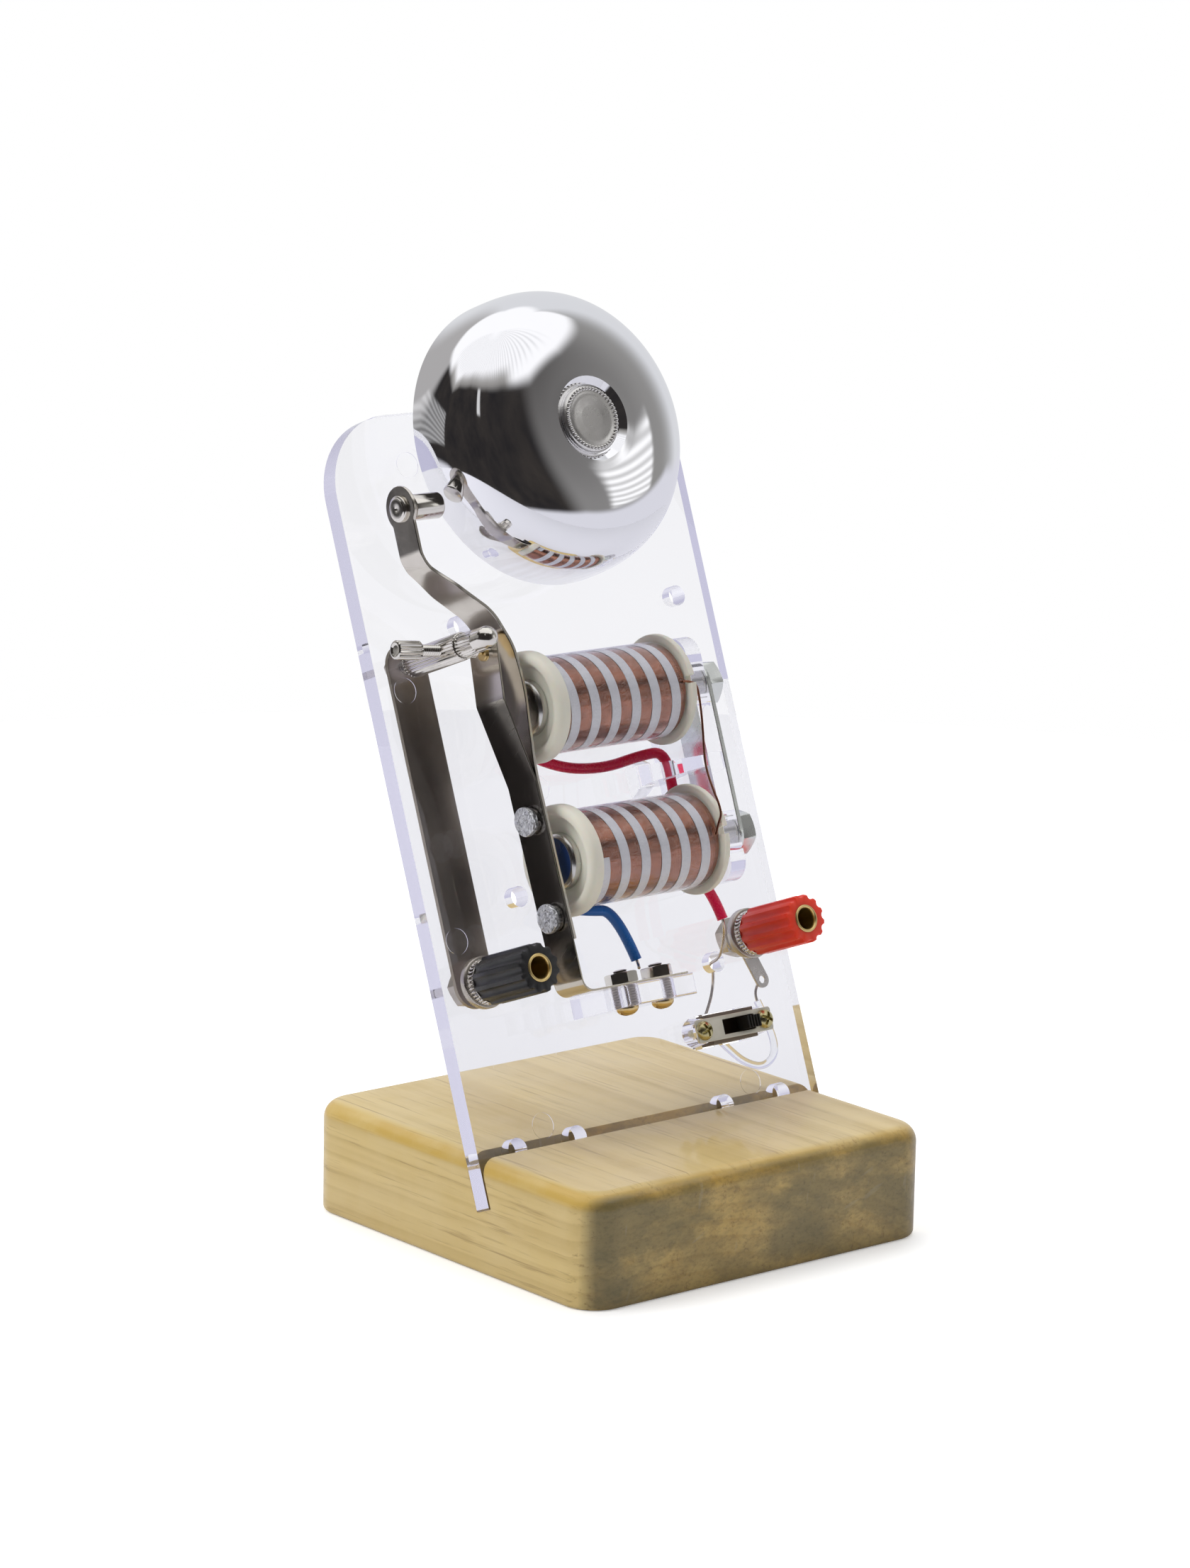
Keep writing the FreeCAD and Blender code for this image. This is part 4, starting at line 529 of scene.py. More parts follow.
def varnished_wood(name):
    """The whole finish: bare wood under a clear coat, its edge and its front."""
    material, tree, shader = new_material(name, Coat_Weight=0.45, Coat_Roughness=0.08, IOR=1.38)
    spot = object_spot(tree)
    parts = add(tree, "ShaderNodeSeparateXYZ", {"Vector": spot})
    normal = add(tree, "ShaderNodeSeparateXYZ", {"Vector": add(tree, "ShaderNodeTexCoord").outputs["Normal"]})
    late = growth_rings(tree, parts)
    pores = remap(tree, stretched_noise(tree, (1100, 32, 1100), Detail=4, Roughness=0.65), 0.57, 0.70)
    blotch = cloud(tree, spot, 45.0, 1.7)
    wood = varnished_edge(tree, spot, normal, long_grain(tree, late, pores, blotch))
    sawn = remap(tree, normal.outputs["Y"], -0.45, -0.80)
    tree.links.new(blend_colours(tree, sawn, wood, darkened_front(tree, spot, parts, wood)),
                   shader.inputs["Base Color"])
    tree.links.new(remap(tree, blotch, 0.0, 1.0, 0.5, 0.3), shader.inputs["Roughness"])
    bumped(tree, shader, maths(tree, "SUBTRACT", late, maths(tree, "MULTIPLY", pores, 1.4)), 0.35, 0.04)
    return material


WOOD = varnished_wood("varnished_wood")
print("wood nodes", len(WOOD.node_tree.nodes))

# %% [markdown]
# ## Clear plastic
# The panel is one clear moulding: white lies behind it, its cut edges glow a pale lavender, and its walls look a
# little tinted where one looks along them. Plain transmission gives the first, but its thick edges turn black once the
# light has crossed many faces, so after a few crossings the plastic gives out a painted pale lavender glow in place of
# that light.

# %% Clear moulding
SLANT_TINT = (0.50, 0.49, 0.60)
# Colours of the painted glow that stands in for light carried along thick clear edges; the right one also tints light
# passing through to the floor.
GLOW_LEFT, GLOW_RIGHT = (0.71, 0.70, 0.84), (0.90, 0.90, 0.94)
TRAPPED_DEPTH = 5.5


def clear_moulding(name, tint, rough=0.012, ior=1.49, ripple=0.012):
    """Clear acrylic: transmission with a little ripple from the mould and hairline scratches. It lets plain light
    through to the floor, as the real sheet does, and rays that have crossed it many times meet a painted glow."""
    material, tree, shader = new_material(name, IOR=ior, Transmission_Weight=1.0)
    spot = object_spot(tree)
    lines = scratches(tree, spot, 1500.0, 0.10)
    haze = cloud(tree, spot, 60.0, 1.5)
    plain = blend_colours(tree, haze, tint, tuple(min(1.0, value + 0.015) for value in tint))
    slant = add(tree, "ShaderNodeLayerWeight", {"Blend": 0.5}).outputs["Facing"]
    tree.links.new(blend_colours(tree, remap(tree, slant, 0.27, 0.85), plain, SLANT_TINT),
                   shader.inputs["Base Color"])
    tree.links.new(maths(tree, "ADD", remap(tree, haze, 0.0, 1.0, rough, rough * 0.4), lines),
                   shader.inputs["Roughness"])
    bumped(tree, shader, cloud(tree, spot, 90.0, 1.0), 0.15, ripple)
    through = add(tree, "ShaderNodeBsdfTransparent", {"Color": (*GLOW_RIGHT, 1.0)})
    path = add(tree, "ShaderNodeLightPath")
    mix = add(tree, "ShaderNodeMixShader", {0: path.outputs["Is Shadow Ray"], 1: shader.outputs["BSDF"],
                                            2: through.outputs["BSDF"]})
    # Past a few crossings the plastic gives out painted light, lavender at the left and near white at the right, as a
    # painted glow in place of what thick clear edges pass on.
    parts = add(tree, "ShaderNodeSeparateXYZ", {"Vector": spot})
    shown = blend_colours(tree, remap(tree, parts.outputs["X"], -0.01, 0.035, smooth=True), GLOW_LEFT, GLOW_RIGHT)
    glow = add(tree, "ShaderNodeEmission", {"Color": shown, "Strength": 1.0})
    trapped = maths(tree, "GREATER_THAN", path.outputs["Ray Depth"], TRAPPED_DEPTH)
    mix = add(tree, "ShaderNodeMixShader", {0: trapped, 1: mix.outputs["Shader"], 2: glow.outputs["Emission"]})
    tree.links.new(mix.outputs["Shader"], tree.nodes["Material Output"].inputs["Surface"])
    return material


CLEAR = clear_moulding("clear_acrylic", (0.93, 0.93, 0.96))
CLEAR_SLEEVE = clear_moulding("clear_sleeve", (0.92, 0.93, 0.95), 0.05, 1.45, 0.03)
print("clear finishes:", CLEAR.name, CLEAR_SLEEVE.name)

# %% [markdown]
# ## Tape and copper wire
# A coil shows close turns of enamelled wire through a thin clear tape. Glass would bend the view of the wire, which so
# thin a film doesn't do. A film that mirrors as a clear skin does at each angle and is otherwise open is both closer
# and faster. The wire's gaps are a wave along the coil's axis, with painted shade in them, on turns that are real
# ridges in the mesh.

# %% Tape film and winding
WIRE_PITCH = 0.42


def thin_film(name):
    """A clear film: it mirrors as much as a clear skin does at each angle and lets the rest straight through."""
    material, tree, shader = new_material(name, Metallic=1.0, Base_Color=(0.97, 0.95, 0.96))
    spot = object_spot(tree)
    wrinkles = add(tree, "ShaderNodeTexNoise", {"Vector": object_spot(tree, 1.0, (0.35, 1, 1)), "Scale": 900.0,
                                                "Detail": 3.0, "Roughness": 0.55, "Distortion": 0.6})
    skin = add(tree, "ShaderNodeFresnel", {"IOR": 1.5})
    dust = remap(tree, cloud(tree, spot, 1400.0, 2.0), 0.62, 0.9, 0.0, 0.05)
    share = maths(tree, "ADD", maths(tree, "MULTIPLY", skin.outputs["Fac"], 1.3), dust, clamp=True)
    outer = maths(tree, "SUBTRACT", 1.0, add(tree, "ShaderNodeNewGeometry").outputs["Backfacing"])
    tree.links.new(maths(tree, "MULTIPLY", share, outer), shader.inputs["Alpha"])
    tree.links.new(remap(tree, cloud(tree, spot, 300.0, 1.5), 0.0, 1.0, 0.05, 0.14), shader.inputs["Roughness"])
    bumped(tree, shader, wrinkles.outputs["Fac"], 0.9, 0.6)
    return material


def wire_layers(name):
    """Enamelled copper in close turns: ridges square to the coil's axis, with painted shade in the gaps between turns.
    """
    material, tree, shader = new_material(name, Metallic=0.92, Coat_Weight=0.4, Coat_Roughness=0.15)
    spot = object_spot(tree)
    parts = add(tree, "ShaderNodeSeparateXYZ", {"Vector": spot})
    wobble = maths(tree, "MULTIPLY", cloud(tree, spot, 420.0, 1.0), 0.0006)
    along = maths(tree, "ADD", parts.outputs["X"], wobble)
    ridges = maths(tree, "ABSOLUTE", maths(tree, "SINE", maths(tree, "MULTIPLY", along, math.pi / (WIRE_PITCH * MM))))
    shade = cloud(tree, spot, 260.0, 1.8)
    copper = blend_colours(tree, shade, (0.22, 0.078, 0.043), (0.50, 0.205, 0.125))
    # The gaps between turns get a darker colour: painted shade where neighbouring turns shadow them.
    tree.links.new(blend_colours(tree, remap(tree, ridges, 0.0, 0.5), (0.13, 0.045, 0.028), copper),
                   shader.inputs["Base Color"])
    tree.links.new(remap(tree, shade, 0.0, 1.0, 0.20, 0.12), shader.inputs["Roughness"])
    creases = add(tree, "ShaderNodeTexNoise", {"Vector": object_spot(tree, 1.0, (0.3, 1, 1)), "Scale": 800.0,
                                               "Detail": 2.0, "Distortion": 0.8})
    height = maths(tree, "ADD", maths(tree, "MULTIPLY", ridges, 0.10), creases.outputs["Fac"])
    bumped(tree, shader, height, 0.6, 0.07)
    return material


FILM = thin_film("clear_tape")
WINDING = wire_layers("winding")
print(len(bpy.data.materials), "materials")

# %% [markdown]
# ## Finishes of the pieces kept from the frame
# Every piece of the frame needs its finish, even the ones that are swapped later, so that nothing is left grey. The
# table also holds the name of the finish that the part's own record gives each piece.

# %% Dress the frame's own pieces
KEPT = {
    "wooden_base": (WOOD, "wood"), "clear_panel": (CLEAR, "clear_plastic"), "gong_post": (NICKEL, "nickel"),
    "gong_screw": (NICKEL, "nickel"), "upper_core": (STEEL, "steel"), "lower_core": (STEEL, "steel"),
    "upper_tape": (FILM, "clear_tape"), "lower_tape": (FILM, "clear_tape"),
    "upper_winding": (WINDING, "copper"), "lower_winding": (WINDING, "copper"),
    "upper_bobbin": (IVORY, "ivory_plastic"), "lower_bobbin": (IVORY, "ivory_plastic"),
    "bell_gong": (CHROME, "gong_chrome"), "gong_cap": (SATIN, "satin_chrome"),
    "yoke_plate": (ZINC, "zinc"), "yoke_bolts": (ZINC, "zinc"), "hammer_arm": (NICKEL, "nickel"),
    "contact_spring": (NICKEL, "nickel"), "spring_foot": (NICKEL, "nickel"),
    "armature_rivets": (MOTTLED_ZINC, "zinc"), "contact_tip": (BRASS, "brass"), "clapper": (NICKEL, "nickel"),
    "contact_post": (NICKEL, "nickel"), "post_cap": (NICKEL, "nickel"), "contact_screw": (NICKEL, "nickel"),
    "rear_strip": (DARK_NICKEL, "nickel"), "post_nut": (OLD_NICKEL, "nickel"),
    "black_terminal_nut": (OLD_NICKEL, "nickel"), "red_terminal_nut": (OLD_NICKEL, "nickel"),
    "solder_lug": (OLD_NICKEL, "nickel"), "black_terminal_washer": (NICKEL, "nickel"),
    "red_terminal_washer": (NICKEL, "nickel"), "black_terminal_stud": (NICKEL, "nickel"),
    "red_terminal_stud": (NICKEL, "nickel"), "black_terminal_cap": (BLACK, "black_plastic"),
    "red_terminal_cap": (RED, "red_plastic"), "black_socket": (SOCKET_BRASS, "brass"),
    "red_socket": (SOCKET_BRASS, "brass"), "terminal_screws": (BRASS, "brass"), "terminal_nuts": (NICKEL, "nickel"),
    "switch_frame": (FRAME_TIN, "nickel"), "switch_body": (HOUSING, "black_plastic"),
    "switch_slider": (KNOB_BLACK, "black_plastic"), "switch_terminals": (TINNED, "brass"),
    "switch_screws": (SCREW_BRASS, "brass"), "red_sleeve": (RED_SLEEVE, "red_sleeve"), "red_lead": (TINNED, "copper"),
    "blue_sleeve": (BLUE_SLEEVE, "blue_sleeve"), "blue_lead": (TINNED, "copper"),
    "coil_link_wire": (COPPER, "copper"), "clear_wire": (CLEAR_SLEEVE, "clear_sleeve"),
    "clear_wire_core": (TINNED, "copper"),
}
for name, (material, _) in KEPT.items():
    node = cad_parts[name]
    node.data.materials.clear()
    node.data.materials.append(material)
print("pieces without a finish:", sorted(set(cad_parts) - set(KEPT)))

# %% [markdown]
# ## The gong
# The gong is pressed from sheet and plated. A scaled sphere is the quick way to a dome, but this crown is nearly flat
# and its side nearly straight, so its line follows a squarer law than a circle. One spin about the axis makes the
# whole shell, inner wall and all.

# %% Gong
GONG_UP = 131.7
GONG_RIM = 8.0
GONG_RADIUS = 28.0
GONG_TALL = 19.2
GONG_POWER = 3.46
GONG_SHEET = 1.0
GONG_STEPS = 56
DISH_RADIUS = 7.5
DISH_DEEP = 0.85


def gong_line(radius, tall, floor):
    """Rim to crown, then down a small step into the dished middle."""
    turns = [math.pi / 2 * i / GONG_STEPS for i in range(GONG_STEPS + 1)]
    dome = [(radius * math.cos(turn) ** (2 / GONG_POWER), GONG_RIM + tall * math.sin(turn) ** (2 / GONG_POWER))
            for turn in turns]
    step = [(DISH_RADIUS + 0.7 * math.cos(turn), floor + DISH_DEEP * (0.5 + 0.5 * math.cos(turn)))
            for turn in (math.pi * i / 6 for i in range(7))]
    dome = [spot for spot in dome if spot[0] > DISH_RADIUS + 1.0]
    return dome + step + [(2.6, floor)]


crown = GONG_RIM + GONG_TALL * (1 - (DISH_RADIUS / GONG_RADIUS) ** GONG_POWER) ** (1 / GONG_POWER)
dish_floor = crown - DISH_DEEP
outside = gong_line(GONG_RADIUS, GONG_TALL, dish_floor)
inside = gong_line(GONG_RADIUS - GONG_SHEET, GONG_TALL - GONG_SHEET, dish_floor - GONG_SHEET)
gong = lathe("gong_shell", outside + inside[::-1], CHROME, place(up=GONG_UP), soften=0.0, steps=224, closed=True,
             replaced=["bell_gong"])
print("gong faces", len(gong.data.polygons))

# %% [markdown]
# ## Badge in the middle of the gong
# A small pressed cap closes the dish. Its ring of beads could be a bump, but the beads catch the light one by one, so
# they are small spheres sunk in the rim. The disc inside the ring stays bare.

# %% Badge
BEADS = 48
BEAD_RING, BEAD_HIGH, BEAD_RADIUS = 5.75, 0.76, 0.36


def badge():
    """A pressed cap: raised beaded rim round a bare, slightly sunk disc."""
    bm = turn_mesh([(0, 0.62), (2.5, 0.66), (4.6, 0.84, 0.4), (5.15, 0.72, 0.2), (6.15, 0.66, 0.2), (6.5, 0.25, 0.2),
                    (6.5, 0.0), (0, 0.0)], soften=0.1, steps=128)
    for i in range(BEADS):
        turn = math.tau * i / BEADS
        spot = Matrix.Translation((BEAD_RING * MM * math.cos(turn), BEAD_RING * MM * math.sin(turn), BEAD_HIGH * MM))
        bmesh.ops.create_icosphere(bm, subdivisions=3, radius=BEAD_RADIUS * MM, matrix=spot)
    return piece(bm, "gong_badge", SATIN, place(up=GONG_UP, out=dish_floor), replaced=["gong_cap"])


badge()
print("badge with", BEADS, "beads")

# %% [markdown]
# ## Spools
# Each coil is wound round a moulded spool: a thick dished flange at the pole end, a thin one at the wall, with a
# notch in the thin one where the wire comes out. A notch could be cut by a boolean. It's cleaner to spin the rim
# nearly all the way round and leave the notch open.

# %% Spools
# Heights are up the panel, and lengths along a coil run from its middle, to the right.
COIL_LEVELS = {"upper": 80.75, "lower": 51.25}
COIL_SPOTS = {which: place(0, level, MID_OUT, RIGHT) for which, level in COIL_LEVELS.items()}
FLANGE_RADIUS = 10.7
FLANGE_END = 15.5
WIND_LEFT, WIND_RIGHT = -15.6, 14.2
NOTCH_WIDE, NOTCH_DEEP = 1.6, 1.5


def ordered_ring(bm):
    """The vertices of a closed chain of edges, in order."""
    first = next(iter(bm.edges))
    ring, edge = [first.verts[0]], first
    while True:
        onward = edge.other_vert(ring[-1])
        if onward is ring[0]:
            return ring
        ring.append(onward)
        edge = next(other for other in onward.link_edges if other is not edge)


def spool(which, spot):
    """Pole-end flange, barrel and the inner part of the thin flange in one turn, then the notched rim."""
    inner = FLANGE_RADIUS - NOTCH_DEEP
    body = lathe(which + "_spool", [
        (4.05, -17.0), (7.9, -17.0, 0.5), (8.9, -18.8, 0.5), (FLANGE_RADIUS, -18.8, 1.3),
        (FLANGE_RADIUS, WIND_LEFT, 0.5), (5.2, WIND_LEFT), (5.2, WIND_RIGHT), (inner, WIND_RIGHT),
        (inner, FLANGE_END), (4.05, FLANGE_END)],
        IVORY, spot, soften=0.0, steps=128, closed=True, replaced=[which + "_bobbin"])
    bm = bmesh.new()
    drawn_line(bm, [(inner - HAIR, WIND_RIGHT), (FLANGE_RADIUS, WIND_RIGHT, 0.3), (FLANGE_RADIUS, FLANGE_END, 0.3),
                    (inner - HAIR, FLANGE_END)], closed=True)
    section = bm.faces.new(ordered_ring(bm))
    open_turn = 2 * math.asin(NOTCH_WIDE / 2 / FLANGE_RADIUS)
    bmesh.ops.rotate(bm, verts=bm.verts, cent=(0, 0, 0), matrix=Matrix.Rotation(math.pi + open_turn / 2, 3, "Z"))
    bmesh.ops.spin(bm, geom=bm.verts[:] + bm.edges[:] + [section], cent=(0, 0, 0), axis=(0, 0, 1),
                   angle=math.tau - open_turn, steps=120, use_merge=False)
    rim = piece(bm, which + "_spool_rim", IVORY, spot)


print("coils", COIL_LEVELS, "mm up the panel")

# %% [markdown]
# ## Windings
# The real coil holds hundreds of turns in layers, and only the outermost is seen. A true helix of wire would cost
# hundreds of thousands of faces, so the whole winding is one turned body whose line dips a little between turns.

# %% Windings
WIND_RADIUS, BARREL_RADIUS = 9.0, 5.3
WIRE_DIP = 0.025


def winding(which, spot):
    """A turned body with four stations for each turn of wire."""
    rows = int((WIND_RIGHT - WIND_LEFT - 0.2) / (WIRE_PITCH / 4))
    line = [(WIND_RADIUS - WIRE_DIP * (0.5 - 0.5 * math.cos(math.tau * i / 4)),
             WIND_LEFT + 0.1 + i * WIRE_PITCH / 4) for i in range(rows)]
    line = ([(BARREL_RADIUS, WIND_LEFT + 0.1)] + line
            + [(BARREL_RADIUS, WIND_LEFT + 0.1 + rows * WIRE_PITCH / 4)])
    body = lathe(which + "_turns", line, WINDING, spot, soften=0.0, steps=96, closed=True,
                 replaced=[which + "_winding"])


print("turns of wire in the outer layer", int((WIND_RIGHT - WIND_LEFT) / WIRE_PITCH))

# %% [markdown]
# ## Ribbon and film
# A pale ribbon spirals over the wire and a clear tape wraps both. The ribbon is a short line swept up a helix, which
# spin does when it also climbs. The tape is a thin closed shell, and its soft wrinkles are real, from noise moving
# its points in and out, because bump alone can't bend the edge of a highlight.

# %% Ribbon and film
RIBBON_WIDE, RIBBON_PITCH = 2.2, 4.95
RIBBON_LOW, RIBBON_TOP, RIBBON_EDGE = 9.04, 9.12, 0.04
RIBBON_BEGIN = {"upper": 2.2, "lower": 3.3}
FILM_OUTER, FILM_INNER = 9.34, 9.22
FILM_ROWS = 72


def helix(bm, line, pitch, turns, steps, begin=0.0):
    """Sweeps a line of (radius, height) points round the Z axis as it climbs one pitch a turn."""
    verts = [bm.verts.new((across * MM, 0, up * MM)) for across, up in line]
    edges = [bm.edges.new(pair) for pair in zip(verts, verts[1:])]
    bmesh.ops.rotate(bm, verts=verts, cent=(0, 0, 0), matrix=Matrix.Rotation(begin, 3, "Z"))
    bmesh.ops.spin(bm, geom=verts + edges, cent=(0, 0, 0), axis=(0, 0, 1), dvec=(0, 0, pitch * MM / steps),
                   angle=math.tau * turns, steps=round(steps * turns), use_merge=False)


def ribbon(which, spot):
    """The pale ribbon, from one flange nearly to the other."""
    bm = bmesh.new()
    turns = (WIND_RIGHT - WIND_LEFT - RIBBON_WIDE - 0.5) / RIBBON_PITCH
    section = [(RIBBON_LOW, 0.0), (RIBBON_TOP, RIBBON_EDGE), (RIBBON_TOP, RIBBON_WIDE - RIBBON_EDGE),
               (RIBBON_LOW, RIBBON_WIDE)]
    helix(bm, section, RIBBON_PITCH, turns, 96, RIBBON_BEGIN[which])
    bmesh.ops.translate(bm, verts=bm.verts, vec=(0, 0, (WIND_LEFT + 0.25) * MM))
    piece(bm, which + "_ribbon", RIBBON, spot)


def film(which, spot):
    """The outer wrap, a closed thin shell with soft wrinkles round and along it."""
    bm = bmesh.new()
    low, high = WIND_LEFT + 0.12, WIND_RIGHT - 0.12
    levels = [low + (high - low) * i / FILM_ROWS for i in range(FILM_ROWS + 1)]
    drawn_line(bm, [(FILM_OUTER, level) for level in levels] + [(FILM_INNER, level) for level in levels[::-1]],
               closed=True)
    bmesh.ops.spin(bm, geom=bm.verts[:] + bm.edges[:], cent=(0, 0, 0), axis=(0, 0, 1), angle=math.tau, steps=160,
                   use_merge=True)
    for v in bm.verts:
        radius = math.hypot(v.co.x, v.co.y)
        wrinkle = noise.noise(Vector((v.co.x, v.co.y, v.co.z * 0.35)) * 700.0 + Vector((0, 0, len(which) * 7.0)))
        fine = noise.noise(Vector((v.co.x, v.co.y, v.co.z * 0.5)) * 2100.0)
        grow = (radius + (0.05 * wrinkle + 0.02 * fine) * MM) / radius
        v.co.x *= grow
        v.co.y *= grow
    piece(bm, which + "_film", FILM, spot, replaced=[which + "_tape"])


print("ribbon turns", round((WIND_RIGHT - WIND_LEFT - RIBBON_WIDE) / RIBBON_PITCH, 1))

# %% [markdown]
# ## Cores and yoke
# An iron core runs through each spool. Its polished pole disc sits in the flange's dish, and a plated strip joins the
# two cores behind the wall. The cores are turned, and the strip is a flat outline with round ends given thickness.
# A thin gap of air stays between it and the clear wall, as between any two parts that only touch.

# %% Cores, and both coils
def pole(which, spot):
    """The core with its rounded, polished pole disc in the flange's dish."""
    # The lower pole gets the painted blue reflection on its face.
    body = lathe(which + "_pole", [
        (0, -18.95), (5.5, -18.95, 1.1), (5.5, -17.02, 0.2), (4.0, -17.0), (4.0, 23.2), (2.6, 23.2), (2.6, 12.0),
        (0, 12.0)], STEEL if which == "upper" else BLUE_FACED_STEEL, spot, soften=0.1, steps=96,
        replaced=[which + "_core"])


for which, spot in COIL_SPOTS.items():
    for make in (spool, winding, ribbon, film, pole):
        make(which, spot)
print("coils made:", list(COIL_SPOTS))

# %% [markdown]
# The yoke plate closes the iron's path behind the wall. A cube with rounded ends would need a modifier. An outline
# with a half circle at each end is one face, and extruding it gives the plate at once.

# %% Yoke plate
YOKE_LEFT, YOKE_RIGHT, YOKE_HALF = 23.24, 24.2, 4.7
ROUND_STEPS = 20


def prism(name, ring, low, high, material, matrix, body="stand", soften=0.12, replaced=()):
    """A flat outline of (x, y) points given thickness, with softened edges."""
    bm = bmesh.new()
    verts = [bm.verts.new((x * MM, y * MM, low * MM)) for x, y in ring]
    foot = bm.faces.new(verts)
    top = bmesh.ops.extrude_face_region(bm, geom=[foot])
    moved = [item for item in top["geom"] if isinstance(item, bmesh.types.BMVert)]
    bmesh.ops.translate(bm, vec=(0, 0, (high - low) * MM), verts=moved)
    bmesh.ops.recalc_face_normals(bm, faces=bm.faces)
    if soften:
        bmesh.ops.bevel(bm, geom=bm.edges[:], offset=soften * MM, offset_type="OFFSET", segments=2, profile=0.5,
                        affect="EDGES", clamp_overlap=True, material=-1)
    return piece(bm, name, material, matrix, body, crease=20.0, replaced=replaced)


def stadium(low, high, reach):
    """The outline of a plate with round ends, as (across, up) points."""
    turns = [math.pi * i / ROUND_STEPS for i in range(ROUND_STEPS + 1)]
    top = [(reach * math.cos(turn), high + reach * math.sin(turn)) for turn in turns]
    return top + [(-x, low - (y - high)) for x, y in top]


yoke = prism("yoke_bar", stadium(COIL_LEVELS["lower"], COIL_LEVELS["upper"], YOKE_HALF), YOKE_LEFT, YOKE_RIGHT, ZINC,
             place(0, 0, MID_OUT, RIGHT), replaced=["yoke_plate"])
print("yoke plate", round(YOKE_RIGHT - YOKE_LEFT, 2), "mm thick")

# %% [markdown]
# ## Hammer arm
# The arm is a strip bent from sheet: cranked round the gong, narrowed at the neck, with an eye for the clapper. A
# strip modelled flat and bent by a modifier would lose its exact bends. It's drawn as its middle line with a radius at
# every bend, then given width and thickness, so that the light runs along it as along rolled metal.

# %% Stations of a bent strip
def bent_line(points, bends, step=0.8):
    """Stations along a bent line of (across, up) points whose inner corners have the given bend radii."""
    bm = bmesh.new()
    spots = [Vector((across, up, 0)) * MM for across, up in points]
    verts = [bm.verts.new(spot) for spot in spots]
    for pair in zip(verts, verts[1:]):
        bm.edges.new(pair)
    for i, (corner, radius) in enumerate(zip(verts[1:], bends)):
        half = (spots[i + 1] - spots[i]).angle(spots[i + 2] - spots[i + 1]) / 2
        bmesh.ops.bevel(bm, geom=[corner], offset=radius * MM * math.tan(half), offset_type="OFFSET", segments=8,
                        profile=0.5, affect="VERTICES", clamp_overlap=False, material=-1)
    for edge in list(bm.edges):
        cuts = int(edge.calc_length() / (step * MM))
        if cuts:
            bmesh.ops.subdivide_edges(bm, edges=[edge], cuts=cuts)
    end = min(bm.verts, key=lambda v: (v.co - spots[0]).length)
    chain, edge = [end], end.link_edges[0]
    while True:
        chain.append(edge.other_vert(chain[-1]))
        onward = [other for other in chain[-1].link_edges if other is not edge]
        if not onward:
            break
        edge = onward[0]
    stations = [v.co.copy() / MM for v in chain]
    bm.free()
    return stations


def bent_strip(stations, half_width, thick, edge=0.12):
    """A strip of metal standing on edge along the stations; half_width gives its reach either side at each."""
    bm = bmesh.new()
    rings = []
    for i, spot in enumerate(stations):
        along = (stations[min(i + 1, len(stations) - 1)] - stations[max(i - 1, 0)]).normalized()
        side = Vector((-along.y, along.x, 0)) * thick / 2
        reach = half_width(spot)
        corners = [(side, -reach), (side, reach), (-side, reach), (-side, -reach)]
        rings.append([bm.verts.new((spot + shift + Vector((0, 0, MID_OUT + out))) * MM) for shift, out in corners])
    for low, high in zip(rings, rings[1:]):
        for j in range(4):
            bm.faces.new((low[j], low[(j + 1) % 4], high[(j + 1) % 4], high[j]))
    bm.faces.new(rings[0])
    bm.faces.new(rings[-1][::-1])
    bmesh.ops.recalc_face_normals(bm, faces=bm.faces)
    sharp = [line for line in bm.edges if line.calc_face_angle(0.0) > math.radians(40.0)]
    bmesh.ops.bevel(bm, geom=sharp, offset=edge * MM, offset_type="OFFSET", segments=2, profile=0.5,
                    affect="EDGES", clamp_overlap=True, material=-1)
    return bm


print("a square corner with a 3 mm bend has", len(bent_line([(0, 0), (10, 0), (10, 10)], [3.0])), "stations")

# %% [markdown]
# The arm's own line starts at its lower end and climbs to the eye. Its width changes on the way, so a small function
# gives half the width at each height: full below, drawn in at the neck, and round about the eye.

# %% Arm
EYE_UP, EYE_RADIUS = 121.0, 4.3
EYE_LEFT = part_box("hammer_arm")[0].x / MM + 0.35
ARM_LINE = [(-21.45, 36.2), (-22.15, 69.0), (-20.45, 84.5), (-21.15, 92.4), (-24.2, 99.2), (-30.4, 104.3),
            (EYE_LEFT, 110.2), (EYE_LEFT, 125.25)]
ARM_BENDS = [40.0, 30.0, 10.0, 9.0, 60.0, 5.0]
ARM_THICK, SPRING_THICK = 0.7, 0.4
ARM_HALF, NECK_HALF = 4.3, 3.25
NECK_START, NECK_LONG = 104.0, 5.0
EYE_END_HALF = 0.25


def arm_reach(spot):
    """Half the arm's width: full below, drawn in at the neck, round at the eye."""
    share = min(1.0, max(0.0, (spot.y - NECK_START) / NECK_LONG))
    waist = ARM_HALF + (NECK_HALF - ARM_HALF) * share * share * (3 - 2 * share)
    rise = abs(spot.y - EYE_UP)
    if rise >= EYE_RADIUS:
        return waist if spot.y < EYE_UP else EYE_END_HALF
    eye = math.sqrt(EYE_RADIUS ** 2 - rise ** 2)
    return eye if spot.y > EYE_UP else max(waist, eye)


arm = piece(bent_strip(bent_line(ARM_LINE, ARM_BENDS, 0.35), arm_reach, ARM_THICK), "bent_arm", ARM_METAL, PANEL,
            "armature", crease=20.0, replaced=["hammer_arm"])
print("arm faces", len(arm.data.polygons))

# %% [markdown]
# ## Contact spring with its foot
# A thin leaf spring lies on the arm's left face, leaves it to carry the contact at its top, and bends under at the
# bottom to a foot that is screwed to the shelf. That bend is the bell's only hinge. Two rigid pieces would tear there,
# so the strip is one mesh, and it rides on no body.

